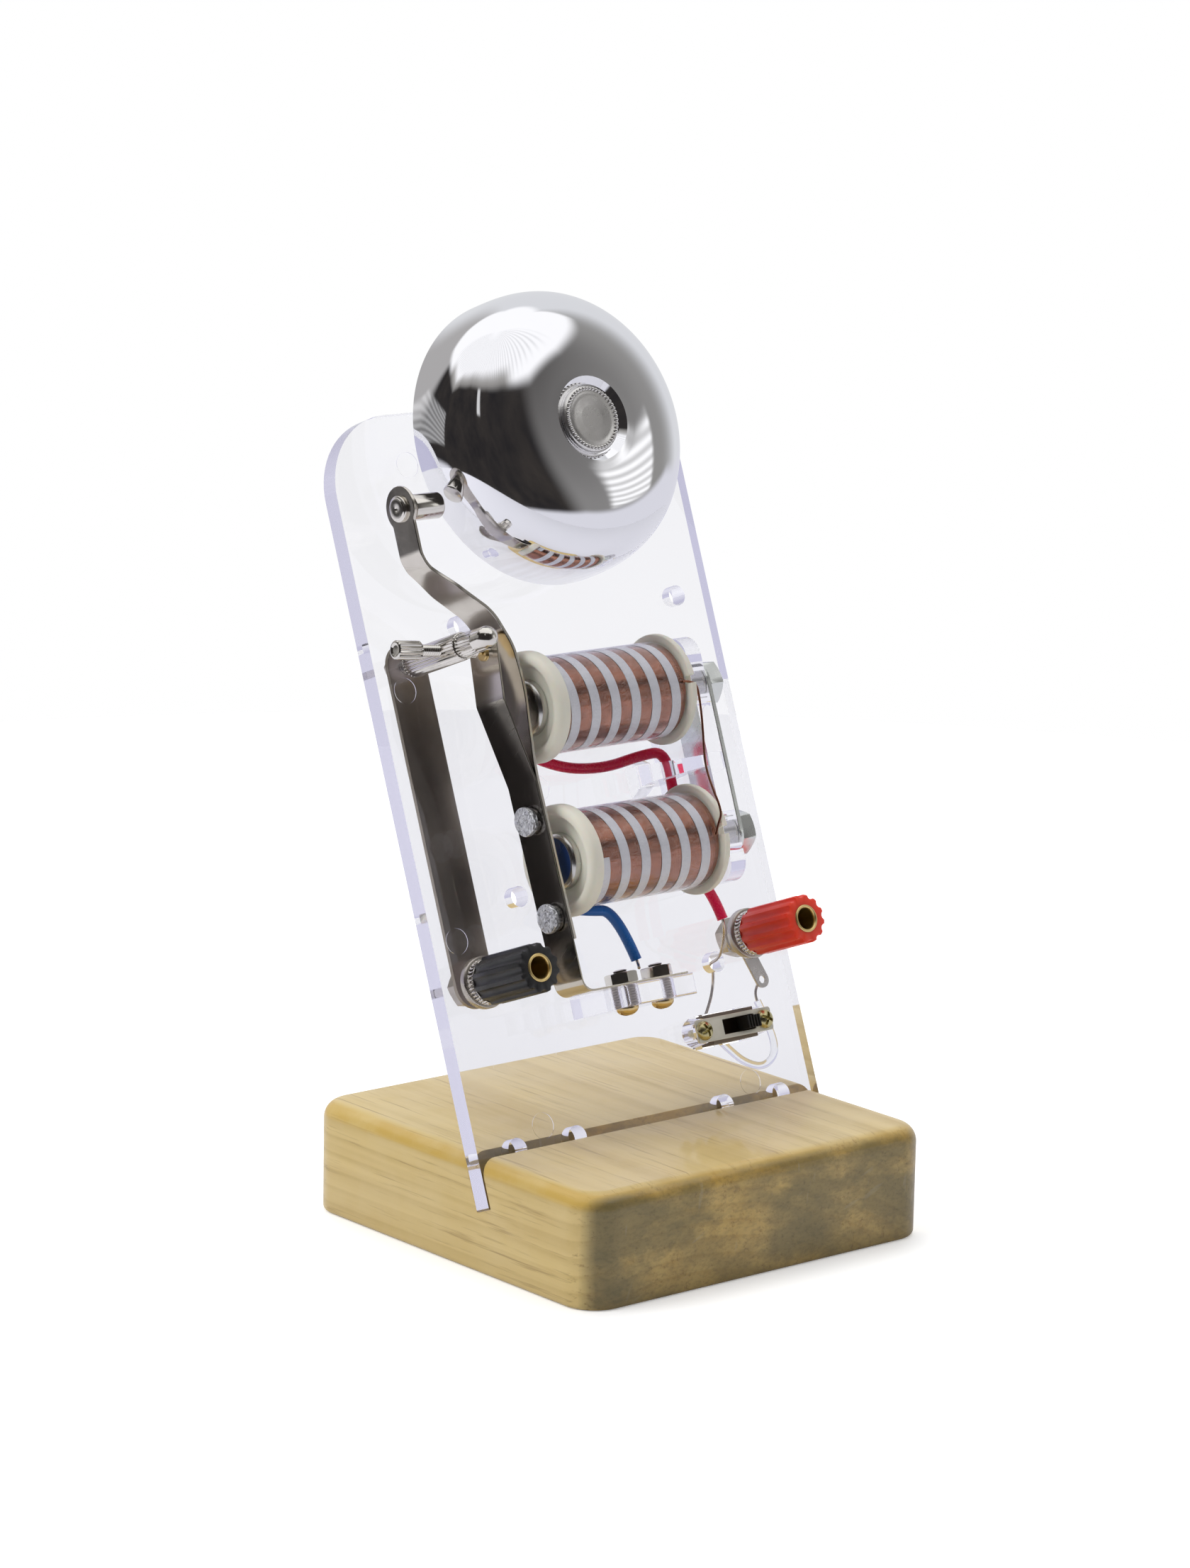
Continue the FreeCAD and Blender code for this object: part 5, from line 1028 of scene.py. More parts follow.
# %% Spring
(foot_x, foot_y), (turn_x, turn_y) = ARM_LINE[0], ARM_LINE[1]
along_arm = Vector((turn_x - foot_x, turn_y - foot_y, 0)).normalized()
SQUARE = Vector((-along_arm.y, along_arm.x, 0))
spring_shift = SQUARE * (ARM_THICK + SPRING_THICK) / 2


def on_spring(level):
    """The spring's middle line beside the straight part of the arm, at a height up the panel."""
    start = Vector((foot_x, foot_y, 0)) + spring_shift
    spot = start + along_arm * (level - start.y) / along_arm.y
    return spot.x, spot.y


FOOT_UP, FOOT_RIGHT = 26.2, 3.5
SPRING_LINE = [(FOOT_RIGHT, FOOT_UP), on_spring(FOOT_UP), on_spring(66.6), (-26.0, 82.6), (-24.75, 94.4)]
SPRING_BENDS = [2.4, 1.2, 1.4]
spring = piece(bent_strip(bent_line(SPRING_LINE, SPRING_BENDS, 0.6), lambda spot: ARM_HALF, SPRING_THICK, 0.08),
               "spring_strip", SPRING_STEEL, PANEL, None, crease=20.0, replaced=["contact_spring", "spring_foot"])
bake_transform(spring)

# %% [markdown]
# ## Rivets and clapper
# Two rivets with broad hammered heads hold the spring to the arm, and a turned slug in the arm's eye strikes the
# gong. All three are round, so each is one spun line. The rivets are alike and ride together, so they are joined into
# one mesh after each is turned to stand square on the strip.

# %% Rivets
def joined(parts):
    """One bmesh from several, which are freed."""
    whole = bmesh.new()
    for part in parts:
        mesh = bpy.data.meshes.new("part")
        part.to_mesh(mesh)
        part.free()
        whole.from_mesh(mesh)
        bpy.data.meshes.remove(mesh)
    return whole


def set_on(bm, matrix):
    """Moves a finished bmesh to its spot and gives it back."""
    bmesh.ops.transform(bm, matrix=matrix, verts=bm.verts)
    return bm


left_face = ARM_THICK / 2 + SPRING_THICK
rivets = []
for level in (41.0, 59.6):
    middle = Vector((*on_spring(level), 0)) - spring_shift
    rivet = turn_mesh([(0, left_face + 1.7), (1.9, left_face + 1.72), (2.8, left_face + 1.66, 0.22),
                       (2.8, left_face + 0.7, 0.15), (2.4, left_face + 0.7), (2.4, left_face), (1.3, left_face),
                       (1.3, -0.35), (1.9, -0.35), (1.9, -0.8, 0.25), (0, -0.8)], soften=0.06, steps=72)
    rivets.append(set_on(rivet, facing(middle.x, middle.y, MID_OUT, SQUARE)))
heads = piece(joined(rivets), "rivet_heads", MOTTLED_ZINC, Matrix.Identity(4), "armature",
              replaced=["armature_rivets"])
print("rivets joined:", len(rivets))

# %% [markdown]
# The clapper is a turned slug: a neck against the arm, then a wider body whose rounded end meets the gong. Its head on
# the arm's left has a raised face with a pit at the middle, so the line draws them too.

# %% Clapper
clapper_left = EYE_LEFT + ARM_THICK / 2
clapper_right = EYE_LEFT + 8.55
clapper = lathe("clapper_slug", [
    (0, EYE_LEFT - 1.02), (0.35, EYE_LEFT - 1.02, 0.1), (0.5, EYE_LEFT - 1.22, 0.08), (1.95, EYE_LEFT - 1.22, 0.1),
    (2.15, EYE_LEFT - 1.02, 0.1), (2.5, EYE_LEFT - 0.98, 0.2), (2.5, EYE_LEFT - 0.35), (1.58, EYE_LEFT - 0.35),
    (1.58, clapper_left), (2.2, clapper_left), (2.2, clapper_left + 1.6), (2.5, clapper_left + 1.6, 0.12),
    (2.5, clapper_right, 0.4), (0, clapper_right)],
    NICKEL, place(0, EYE_UP, MID_OUT, RIGHT), "armature", soften=0.05, replaced=["clapper"])
print("clapper", round(clapper_right - clapper_left, 2), "mm right of the arm")

# %% [markdown]
# ## Contact post and its cap
# The post stands on the panel and clamps the adjusting screw under a cap, and both are straight-knurled for the
# fingers. A bump map would leave their outline smooth, so every groove is pressed into the turned mesh by moving its
# rim in and out as it goes round.

# %% Post and cap
POST_LEFT, POST_UP, POST_RADIUS, POST_TALL = -33.1, 93.4, 2.7, 16.2
KNURL_STEPS = 6


def knurl(bm, low, high, reach, count, depth):
    """Presses straight grooves into the rim of a turned mesh between two heights."""
    for v in bm.verts:
        radius = math.hypot(v.co.x, v.co.y)
        if low * MM <= v.co.z <= high * MM and radius > reach * MM:
            turn = math.atan2(v.co.y, v.co.x)
            cut = depth * MM * (0.5 - 0.5 * math.cos(count * turn))
            v.co.x *= (radius - cut) / radius
            v.co.y *= (radius - cut) / radius


def knurled(name, points, band, count, depth, material, spot, body="stand", replaced=(), soften=0.1):
    """A turning with straight grooves in its rim between two heights, beyond a radius."""
    low, high, reach = band
    bm = turn_mesh(points, soften, count * KNURL_STEPS)
    knurl(bm, low, high, reach, count, depth)
    return piece(bm, name, material, spot, body, crease=50.0, replaced=replaced)


post = knurled("knurled_post", [
    (0, -7.8), (1.5, -7.8), (1.5, HAIR), (POST_RADIUS, HAIR, 0.2), (POST_RADIUS, 5.0), (POST_RADIUS, 10.0),
    (POST_RADIUS, POST_TALL, 0.3), (0, POST_TALL)], (0.1, POST_TALL - 0.15, 2.45), 26, 0.26, NICKEL,
    place(POST_LEFT, POST_UP), replaced=["contact_post"])
cap = knurled("post_cap_screw", [
    (0, 12.7), (1.0, 12.7), (1.0, POST_TALL + HAIR), (2.25, POST_TALL + HAIR, 0.15), (2.25, 18.5),
    (2.25, 21.0, 0.12), (2.2, 21.2), (2.2, 25.4, 2.1), (0, 25.4)], (16.3, 20.95, 2.05), 22, 0.24, NICKEL,
    place(POST_LEFT, POST_UP), "post_clamp", ["post_cap"])
print("post faces", len(post.data.polygons), "and cap faces", len(cap.data.polygons))

# %% [markdown]
# ## Contact screw
# The adjusting screw runs through the post at a slight tilt, its nose against the spring's contact. Its thread is
# seen from close by, so it is a real one: a notched line swept up a helix, sunk a little in the shank.

# %% Contact screw
SCREW_TILT = math.radians(-7.0)
CONTACT_LEFT = -25.72
HEAD_END, SHANK_END = -12.1, -7.0
SCREW_PITCH = 0.5


def contact_screw():
    """Knurled head with a countersunk end, and a threaded shank that ends in a small nose."""
    tip = (CONTACT_LEFT - POST_LEFT) / math.cos(SCREW_TILT)
    screw = turn_mesh([(0, HEAD_END), (0.9, HEAD_END), (1.35, -12.4, 0.1), (1.85, HEAD_END, 0.15), (1.85, -9.5),
                       (1.85, SHANK_END, 0.2), (0.9, SHANK_END), (0.9, tip - 1.0), (0.7, tip - 0.6),
                       (0.7, tip, 0.25), (0, tip)], 0.05, 96)
    knurl(screw, -12.15, -7.1, 1.7, 12, 0.34)
    thread = bmesh.new()
    helix(thread, [(0.92, 0.0), (1.15, SCREW_PITCH * 0.45), (1.15, SCREW_PITCH * 0.55), (0.92, SCREW_PITCH)],
          SCREW_PITCH, (tip - 1.2 - SHANK_END) / SCREW_PITCH, 32)
    bmesh.ops.translate(thread, verts=thread.verts, vec=(0, 0, SHANK_END * MM))
    spot = place(POST_LEFT, POST_UP, MID_OUT, Matrix.Rotation(SCREW_TILT, 4, "Z") @ RIGHT)
    return piece(joined([screw, thread]), "threaded_screw", NICKEL, spot, "contact_adjuster", crease=50.0,
                 replaced=["contact_screw"])


contact_screw()
print("screw tilted", round(math.degrees(-SCREW_TILT), 1), "degrees")

# %% [markdown]
# ## Socket terminals
# Each terminal is a stud with a knurled collar, a fluted plastic cap screwed on it and a brass tube pressed into the
# cap. The cap's section is a circle bitten into by twelve smaller ones. Twelve booleans would do it and leave ragged
# edges, so the section is worked out once as a reach for each direction, and its rings are stacked up the cap.

# %% Fluted cap
CAP_RADIUS, BITE_RADIUS, BITE_OUT = 4.75, 0.95, 5.17
FLUTES = 12
FLUTE_STEPS = 20
CAP_LOW, CAP_HIGH, INSERT_RADIUS = 3.25, 18.2, 2.65


def fluted_radius(turn):
    """How far out the cap's section reaches in a direction."""
    pitch = math.tau / FLUTES
    off = (turn + pitch / 2) % pitch - pitch / 2
    bite = BITE_RADIUS ** 2 - (BITE_OUT * math.sin(off)) ** 2
    return min(CAP_RADIUS, BITE_OUT * math.cos(off) - math.sqrt(bite)) if bite > 0 else CAP_RADIUS


def fluted_cap(name, material, spot, body, node):
    """Rings of the fluted section stacked up the cap, closed into the round bore at both ends."""
    bm = bmesh.new()
    count = FLUTES * FLUTE_STEPS
    turns = [math.tau * i / count for i in range(count)]
    outer = [(CAP_LOW, 0.5), (CAP_LOW + 0.15, 0.18), (CAP_LOW + 0.5, 0.0), (8.0, 0.0), (13.0, 0.0),
             (CAP_HIGH - 0.45, 0.0), (CAP_HIGH - 0.12, 0.1), (CAP_HIGH, 0.32)]
    sections = [(level, [fluted_radius(turn) - inset for turn in turns]) for level, inset in outer]
    sections += [(CAP_HIGH, [INSERT_RADIUS + 0.05] * count), (CAP_LOW, [INSERT_RADIUS] * count)]
    rings = [[bm.verts.new((reach * MM * math.cos(turn), reach * MM * math.sin(turn), level * MM))
              for turn, reach in zip(turns, reaches)] for level, reaches in sections]
    for low, high in zip(rings, rings[1:] + rings[:1]):
        for i in range(count):
            bm.faces.new((low[i], low[(i + 1) % count], high[(i + 1) % count], high[i]))
    return piece(bm, name, material, spot, body, crease=40.0, replaced=[node])


print("cap section reaches", round(fluted_radius(0.0), 2), "to", CAP_RADIUS, "mm")

# %% [markdown]
# The two terminals differ only in colour and side, so one loop makes both. Each cap rides with its socket on its own
# body, since they screw out together, while the washer and the stud stay with the stand.

# %% Terminals
TERMINAL_OUT, TERMINAL_UP = 33.1, 32.0
for colour, side, material in (("black", -1, BLACK), ("red", 1, RED)):
    spot = place(side * TERMINAL_OUT, TERMINAL_UP)
    head = colour + "_head"
    cap = fluted_cap(colour + "_fluted_cap", material, spot, head, colour + "_terminal_cap")
    socket = knurled(colour + "_socket_tube", [
        (1.85, 3.25), (2.6, 3.25), (2.6, 17.9), (2.75, 17.95), (2.75, 18.25, 0.12), (2.5, 18.48, 0.15),
        (2.2, 18.42, 0.15), (2.0, 18.0, 0.2), (2.0, 7.6), (1.85, 7.6)], (17.93, 18.3, 2.6), 44, 0.18,
        SOCKET_BRASS, spot, head, [colour + "_socket"], soften=0.0)
    washer = lathe(colour + "_plain_washer", [(1.85, HAIR), (5.0, HAIR, 0.1), (5.0, 1.38, 0.3), (1.85, 1.38)],
                   OLD_NICKEL, spot, closed=True, replaced=[colour + "_terminal_washer"])
    stud = knurled(colour + "_knurled_stud", [
        (0, -9.0), (1.75, -9.0, 0.3), (1.75, 1.4), (4.4, 1.4, 0.15), (4.4, 3.2, 0.15), (1.75, 3.2), (1.75, 7.0, 0.3),
        (0, 7.0)], (1.5, 3.1, 4.0), 34, 0.34, NICKEL, spot, "stand", [colour + "_terminal_stud"])
    print(colour, "terminal faces", sum(len(part.data.polygons) for part in (cap, socket, washer, stud)))

# %% [markdown]
# ## Small screws
# Two slotted screws hold the spring's foot and two crossed ones hold the switch. A head is a dome of fine rings. The
# slot or cross could be cut by a boolean, but pressing it in, by lowering the points that lie inside its outline,
# keeps the mesh closed and simple.

# %% Screw heads and shanks
SHELF_LOW = 21.9
SCREWS_ACROSS = (-9.3, -0.6)
SCREW_THREAD, THREAD_RINGS = 0.5, 29
DOME_STEPS = 40
SWITCH_ACROSS, SWITCH_UP, SWITCH_FACE = (14.45, 29.95), 15.0, 3.5
CROSS_TURNS = (0.35, 1.1)
DOWN = Matrix.Rotation(math.pi / 2, 4, "X")


def domed_head(radius, tall, arms, wide, deep, turn=0.0):
    """A domed screw head with a slot (one arm) or a cross (two arms) pressed in."""
    dome = [(radius * math.sin(t), tall * math.cos(t)) for t in (math.pi / 2 * i / DOME_STEPS
                                                                 for i in range(DOME_STEPS + 1))]
    bm = turn_mesh([(0, HAIR), (radius, HAIR)] + [(x, y + 2 * HAIR) for x, y in dome[::-1]], 0.0, 120)
    for v in bm.verts:
        if v.co.z > 3 * HAIR * MM:
            for arm in range(arms):
                angle = turn + arm * math.pi / 2
                along = v.co.x * math.cos(angle) + v.co.y * math.sin(angle)
                off = v.co.y * math.cos(angle) - v.co.x * math.sin(angle)
                if abs(off) < wide / 2 * MM and (arms == 1 or abs(along) < radius * 0.68 * MM):
                    v.co.z = min(v.co.z, max(3 * HAIR, tall - deep) * MM)
    return bm


def ringed_shank():
    """A shank with a shallow groove for every turn of its thread."""
    rings = [(1.38 - 0.2 * (i % 2), SHELF_LOW + 0.05 + i * SCREW_THREAD / 2) for i in range(THREAD_RINGS)]
    tip = rings[-1][1] + 0.2
    return turn_mesh([(0, rings[0][1])] + rings + [(0.9, tip), (0, tip)], 0.0, 64)


heads = [set_on(domed_head(2.15, 1.45, 1, 0.7, 0.8), place(across, SHELF_LOW, MID_OUT, DOWN))
         for across in SCREWS_ACROSS]
piece(joined(heads), "terminal_screw_heads", BRASS, Matrix.Identity(4), crease=30.0,
              replaced=["terminal_screws"])
shanks = [set_on(ringed_shank(), place(across, 0, MID_OUT, UP)) for across in SCREWS_ACROSS]
piece(joined(shanks), "terminal_screw_shanks", OLD_NICKEL, Matrix.Identity(4), crease=50.0)
crosses = [set_on(domed_head(1.9, 1.15, 2, 0.5, 0.85, turn), place(across, SWITCH_UP, SWITCH_FACE))
           for across, turn in zip(SWITCH_ACROSS, CROSS_TURNS)]
crosses += [set_on(turn_mesh([(0, -3.3), (0.9, -3.3, 0.2), (0.9, HAIR / 2), (0, HAIR / 2)], 0.0, 48),
                   place(across, SWITCH_UP, SWITCH_FACE)) for across in SWITCH_ACROSS]
piece(joined(crosses), "switch_screw_heads", SCREW_BRASS, Matrix.Identity(4), crease=30.0,
              replaced=["switch_screws"])
print("screws:", len(SCREWS_ACROSS), "slotted and", len(SWITCH_ACROSS), "crossed")

# %% [markdown]
# ## Slide knob
# The switch's knob is a small black block ribbed for the thumb. Stacked boxes would hide faces inside one another, so
# its comb-shaped profile is drawn across the ribs and given thickness in one go.

# %% Slide knob
KNOB_LEFT, KNOB_RIGHT, KNOB_TOP, KNOB_FOOT, KNOB_HALF = 24.0, 27.2, 5.6, 2.4, 1.2
RIBS, RIB_DEEP = 5, 0.3
rib = (KNOB_RIGHT - KNOB_LEFT) / (2 * RIBS - 1)
comb = [(KNOB_LEFT, -KNOB_FOOT)]
for i in range(RIBS):
    start = KNOB_LEFT + 2 * i * rib
    comb += [(start, -KNOB_TOP), (start + rib, -KNOB_TOP)]
    if i < RIBS - 1:
        comb += [(start + rib, -KNOB_TOP + RIB_DEEP), (start + 2 * rib, -KNOB_TOP + RIB_DEEP)]
comb.append((KNOB_RIGHT, -KNOB_FOOT))
knob = prism("ribbed_knob", comb, SWITCH_UP - KNOB_HALF, SWITCH_UP + KNOB_HALF, KNOB_BLACK, place(turn=UP), "slider",
             0.05, ["switch_slider"])
print("ribs", round(rib, 3), "mm wide")

# %% [markdown]
# ## Leads
# A red and a blue sleeved lead, a fine wire between the coils and a clear sleeve at the switch join the parts. A
# chain of cylinders would kink at each joint. Every lead is one smooth curve through a few points chosen along its
# way (across, up and out of the panel), with a round section.

# %% Leads
def lead(name, route, radius, material, replaced=()):
    """A wire or sleeve laid along its route on the panel, as one smooth curve."""
    curve = bpy.data.curves.new(name, "CURVE")
    curve.dimensions = "3D"
    spline = curve.splines.new("NURBS")
    spline.points.add(len(route) - 1)
    for point, spot in zip(spline.points, route):
        where = PANEL @ Vector([value * MM for value in spot])
        point.co = (*where, 1.0)
    spline.order_u = 3
    spline.use_endpoint_u = True
    curve.resolution_u = 10
    curve.bevel_depth = radius * MM
    curve.bevel_resolution = 6
    curve.use_fill_caps = True
    curve.materials.append(material)
    shown = bpy.data.objects.new(name, curve)
    bpy.context.scene.collection.objects.link(shown)
    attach(shown, "stand")
    if replaced:
        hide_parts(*replaced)
    return shown


LEADS = {
    "red_sleeve": (1.05, RED_SLEEVE, "red_sleeve", [
        (-12.4, 72.2, 3.6), (-7.5, 69.4, 3.7), (3.1, 67.95, 4.1), (12.2, 69.3, 4.7), (17.4, 69.4, 6.2),
        (17.4, 61.0, 6.1), (17.5, 53.0, 5.6), (17.4, 46.4, 5.9), (18.9, 40.2, 9.4), (19.4, 35.2, 10.0)]),
    "red_lead": (0.3, TINNED, "copper", [
        (19.4, 35.18, 10.0), (19.5, 33.6, 9.9), (20.9, 31.3, 7.2), (23.7, 28.2, 1.6), (24.1, 27.7, -3.0),
        (25.8, 24.6, -5.8), (24.5, 20.4, -6.6), (22.9, 17.2, -8.0)]),
    "blue_sleeve": (1.05, BLUE_SLEEVE, "blue_sleeve", [
        (-12.6, 42.6, 4.2), (-9.6, 41.5, 6.2), (-4.3, 40.6, 7.8), (-2.2, 30.6, 8.3)]),
    "blue_lead": (0.3, TINNED, "copper", [(-2.2, 30.58, 8.3), (-2.0, 29.5, 8.36), (-2.9, 28.95, 9.4)]),
    "coil_link_wire": (0.22, COPPER, "copper", [
        (13.0, 80.5, 20.95), (15.9, 80.4, 21.35), (16.3, 77.0, 21.0), (16.15, 71.2, 20.2), (14.9, 64.8, 20.0),
        (14.5, 60.4, 20.9), (14.6, 54.6, 22.35), (13.6, 52.6, 21.6), (13.0, 50.6, 20.98)]),
    "clear_wire": (0.75, CLEAR_SLEEVE, "clear_sleeve", [
        (25.9, 12.9, -8.0), (26.5, 10.7, -6.5), (28.6, 7.6, -5.2), (32.8, 5.9, -4.9), (36.6, 8.0, -4.9),
        (36.9, 12.6, -5.0), (35.0, 18.9, -5.1)]),
    "clear_wire_core": (0.28, TINNED, "copper", [
        (34.99, 18.94, -5.1), (34.75, 19.9, -5.1), (35.4, 21.6, -5.0), (36.3, 22.6, -4.75)]),
}
for name, (radius, material, slot, route) in LEADS.items():
    lead(name + "_run", route, radius, material, [name])
    print(name, len(route), "points")

# %% [markdown]
# ## Pieces with softened edges
# The plain machined and moulded pieces keep their frame shape. A real edge always catches a thin line of light, and a
# Bevel modifier can't round loose triangles, so a copy of each has its triangles joined into whole faces and its
# edges rounded a little. The clear panel stays as it is, because its edges are sharp and polished.

# %% Softened copies
# Points closer than MERGE are joined before the bevel, which would shrink to the shortest edge, and SLIVER after it.
MERGE, SLIVER = 0.03, 0.001
FLAT_ANGLE, SHARP_ANGLE = math.radians(0.8), math.radians(38.0)
SOFT_WIDTHS = {"wooden_base": 0.25, "yoke_bolts": 0.15, "rear_strip": 0.15, "post_nut": 0.12,
               "black_terminal_nut": 0.12, "red_terminal_nut": 0.1, "solder_lug": 0.08, "terminal_nuts": 0.1,
               "switch_frame": 0.08, "switch_terminals": 0.06, "switch_body": 0.12, "contact_tip": 0.08,
               "gong_screw": 0.1}


def softened(node, material, width, body):
    """A copy of a frame piece with its triangles joined into whole faces and its edges softened. It is drawn in by
    a hair, so that no two surfaces share a plane with the clear sheet."""
    bm = bmesh.new()
    bm.from_mesh(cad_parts[node].data)
    bmesh.ops.remove_doubles(bm, verts=bm.verts, dist=MERGE * MM)
    bmesh.ops.dissolve_limit(bm, angle_limit=FLAT_ANGLE, verts=bm.verts, edges=bm.edges)
    sharp = [edge for edge in bm.edges if edge.is_manifold and edge.calc_face_angle(0.0) > SHARP_ANGLE]
    bmesh.ops.bevel(bm, geom=sharp, offset=width * MM, offset_type="OFFSET", segments=2, profile=0.5,
                    affect="EDGES", clamp_overlap=True, material=-1)
    bm.normal_update()
    for v, inward in [(v, v.normal.copy()) for v in bm.verts]:
        v.co -= inward * HAIR * MM
    bmesh.ops.remove_doubles(bm, verts=bm.verts, dist=SLIVER * MM)
    return piece(bm, node + "_finished", material, Matrix.Identity(4), body, crease=20.0, replaced=[node])


def open_edges(mesh):
    """How many edges of a mesh aren't shared by just two faces."""
    bm = bmesh.new()
    bm.from_mesh(mesh)
    count = sum(1 for edge in bm.edges if not edge.is_manifold)
    bm.free()
    return count


for name, width in SOFT_WIDTHS.items():
    material, slot = KEPT[name]
    copy = softened(name, material, width, "armature" if name == "contact_tip" else "stand")
    print(name, len(copy.data.polygons), "faces, open edges", open_edges(copy.data))

# %% [markdown]
# ## Camera
# The bell is seen through a long lens from the left and a little above, as in a catalogue, so that its upright lines
# stay nearly parallel. A Track To constraint would aim the camera but can't roll it, so its three axes are worked
# out and put in its matrix.

# %% Camera
VIEW_SIDE = math.radians(-40.035)
VIEW_RISE = math.radians(12.130)
VIEW_ROLL = math.radians(1.1475)
VIEW_FAR = 941.07
TARGET_SHIFT = (-6.162, -13.500)
TARGET_HIGH = 100.0
FOCAL_LENGTH, SENSOR_WIDE = 114.33, 36.0

back = Vector((math.sin(VIEW_SIDE) * math.cos(VIEW_RISE), -math.cos(VIEW_SIDE) * math.cos(VIEW_RISE),
               math.sin(VIEW_RISE)))
level_right = Vector((math.cos(VIEW_SIDE), math.sin(VIEW_SIDE), 0))
level_up = back.cross(level_right)
right = level_right * math.cos(VIEW_ROLL) + level_up * math.sin(VIEW_ROLL)
up = level_up * math.cos(VIEW_ROLL) - level_right * math.sin(VIEW_ROLL)
target = Vector((0, 0, TARGET_HIGH)) + right * TARGET_SHIFT[0] + up * TARGET_SHIFT[1]
lens = bpy.data.cameras.new("camera")
lens.sensor_width = SENSOR_WIDE
lens.sensor_fit = "AUTO"
lens.lens = FOCAL_LENGTH
lens.clip_start = 0.05
camera = bpy.data.objects.new("camera", lens)
camera.matrix_world = Matrix.Translation((target + back * VIEW_FAR) * MM) @ Matrix(
    (right, up, back)).transposed().to_4x4()
bpy.context.scene.collection.objects.link(camera)
bpy.context.scene.camera = camera
print("camera at", [round(value, 4) for value in camera.matrix_world.translation])

# %% [markdown]
# ## Floor
# The bell stands on a pale table that runs into a white background. Brighter lamps would whiten the table, but they
# would wash out the bell too. Instead, the floor glows a little for the lens alone and keeps the bell's soft shadow.
# In polished metal it is painted a shade darker, a painted reflection, and through the clear sheet it carries painted
# shade that deepens towards the bell.

# %% Floor
FLOOR_WHITE = (0.88, 0.88, 0.88)
FLOOR_SHADE_IN_METAL = (0.72, 0.72, 0.77)
FLOOR_SHADE_NEAR, FLOOR_FAR = (0.765, 0.765, 0.775), (0.86, 0.86, 0.865)
FLOOR_GLOW = 0.34
AWAY = (0.64, 0.77, 0.0)


def pale_floor():
    """Matt white, with a glow that only the lens sees, a painted darker tone in metal's reflections, and painted shade
    near the bell seen through the sheet.
    """
    material, tree, shader = new_material("pale_floor", Roughness=0.6, Base_Color=FLOOR_WHITE,
                                          Specular_IOR_Level=0.1)
    path = add(tree, "ShaderNodeLightPath")
    seen = maths(tree, "MULTIPLY", path.outputs["Is Camera Ray"], FLOOR_GLOW)
    glow = add(tree, "ShaderNodeEmission", {"Color": (1, 1, 1, 1), "Strength": seen})
    # Rays through the clear sheet count as glossy too, so those are taken off what metal mirrors.
    mirrored = maths(tree, "MULTIPLY", path.outputs["Is Glossy Ray"],
                     maths(tree, "SUBTRACT", 1.0, path.outputs["Is Transmission Ray"]))
    # Through the clear sheet the floor carries painted shade that grows a little darker towards the bell.
    away = add(tree, "ShaderNodeVectorMath", {0: object_spot(tree), 1: AWAY}, operation="DOT_PRODUCT")
    painted_floor_shade = blend_colours(tree, remap(tree, away.outputs["Value"], 0.05, 0.42), FLOOR_SHADE_NEAR, FLOOR_FAR)
    pale = blend_colours(tree, path.outputs["Is Transmission Ray"], FLOOR_WHITE, painted_floor_shade)
    # What metal mirrors of the floor is painted darker, a painted reflection.
    tree.links.new(blend_colours(tree, mirrored, pale, FLOOR_SHADE_IN_METAL), shader.inputs["Base Color"])
    both = add(tree, "ShaderNodeAddShader", {0: shader.outputs["BSDF"], 1: glow.outputs["Emission"]})
    tree.links.new(both.outputs["Shader"], tree.nodes["Material Output"].inputs["Surface"])
    return material


bm = bmesh.new()
bmesh.ops.create_circle(bm, cap_ends=True, segments=96, radius=0.5)
floor = piece(bm, "floor", pale_floor(), Matrix.Identity(4), body=None)
print("floor", round(floor.dimensions.x, 2), "m across")

# %% [markdown]
# ## The room that polished metal mirrors
# The gong is a mirror, so it shows a room: a pale ceiling with blinds, a dark side behind the lens, pale walls and
# two louvred windows. A picture wrapped round the scene could serve, but the room is drawn from directions alone,
# as how far round and how high a ray points, so it has no seams and no picture to load.

# %% Directions in the room
def level(sky, stops):
    """An elevation in degrees that changes with the direction, from (turn, elevation) pairs."""
    tree, turn, _ = sky
    share = ramp(tree, remap(tree, turn, -180.0, 180.0),
                 [((at + 180.0) / 360.0, ((high + 90.0) / 180.0,) * 3) for at, high in stops])
    return remap(tree, share, 0.0, 1.0, -90.0, 90.0)


def above(sky, limit, soft):
    """1 where the direction is above a level, 0 below it."""
    tree, _, rise = sky
    return remap(tree, maths(tree, "SUBTRACT", rise, limit), -soft, soft, smooth=True)


def window(sky, start, end, low, high, soft=1.5):
    """1 inside a box of directions."""
    tree, turn, rise = sky
    inside = remap(tree, turn, start - soft, start + soft, smooth=True)
    inside = maths(tree, "MULTIPLY", inside, remap(tree, turn, end - soft, end + soft, 1.0, 0.0, True))
    inside = maths(tree, "MULTIPLY", inside, remap(tree, rise, low - soft, low + soft, smooth=True))
    return maths(tree, "MULTIPLY", inside, remap(tree, rise, high - soft, high + soft, 1.0, 0.0, True))


CEILING_EDGE = [(-180, 41), (-165, 36), (-135, 36), (-118, 33), (-105, 42), (-75, 50), (-60, 51), (-30, 50), (0, 46),
                (15, 42), (30, 37), (45, 37), (60, 42), (75, 47), (90, 62), (150, 60), (180, 41)]
TABLE_EDGE = [(-180, -12), (-150, -10), (-120, -16), (-105, -22), (-75, -26), (-45, -25), (-30, -21), (-15, -17),
              (0, -11), (15, -5), (30, 0), (75, 1), (90, -4), (180, -12)]
print("ceiling drawn by", len(CEILING_EDGE), "and table by", len(TABLE_EDGE), "stops")

# %% [markdown]
# With those directions the room is put together from back to front, as a painter would: plain walls first, then
# windows and a lamp over them, and the ceiling with its blinds. Each new thing is mixed in by its own mask.

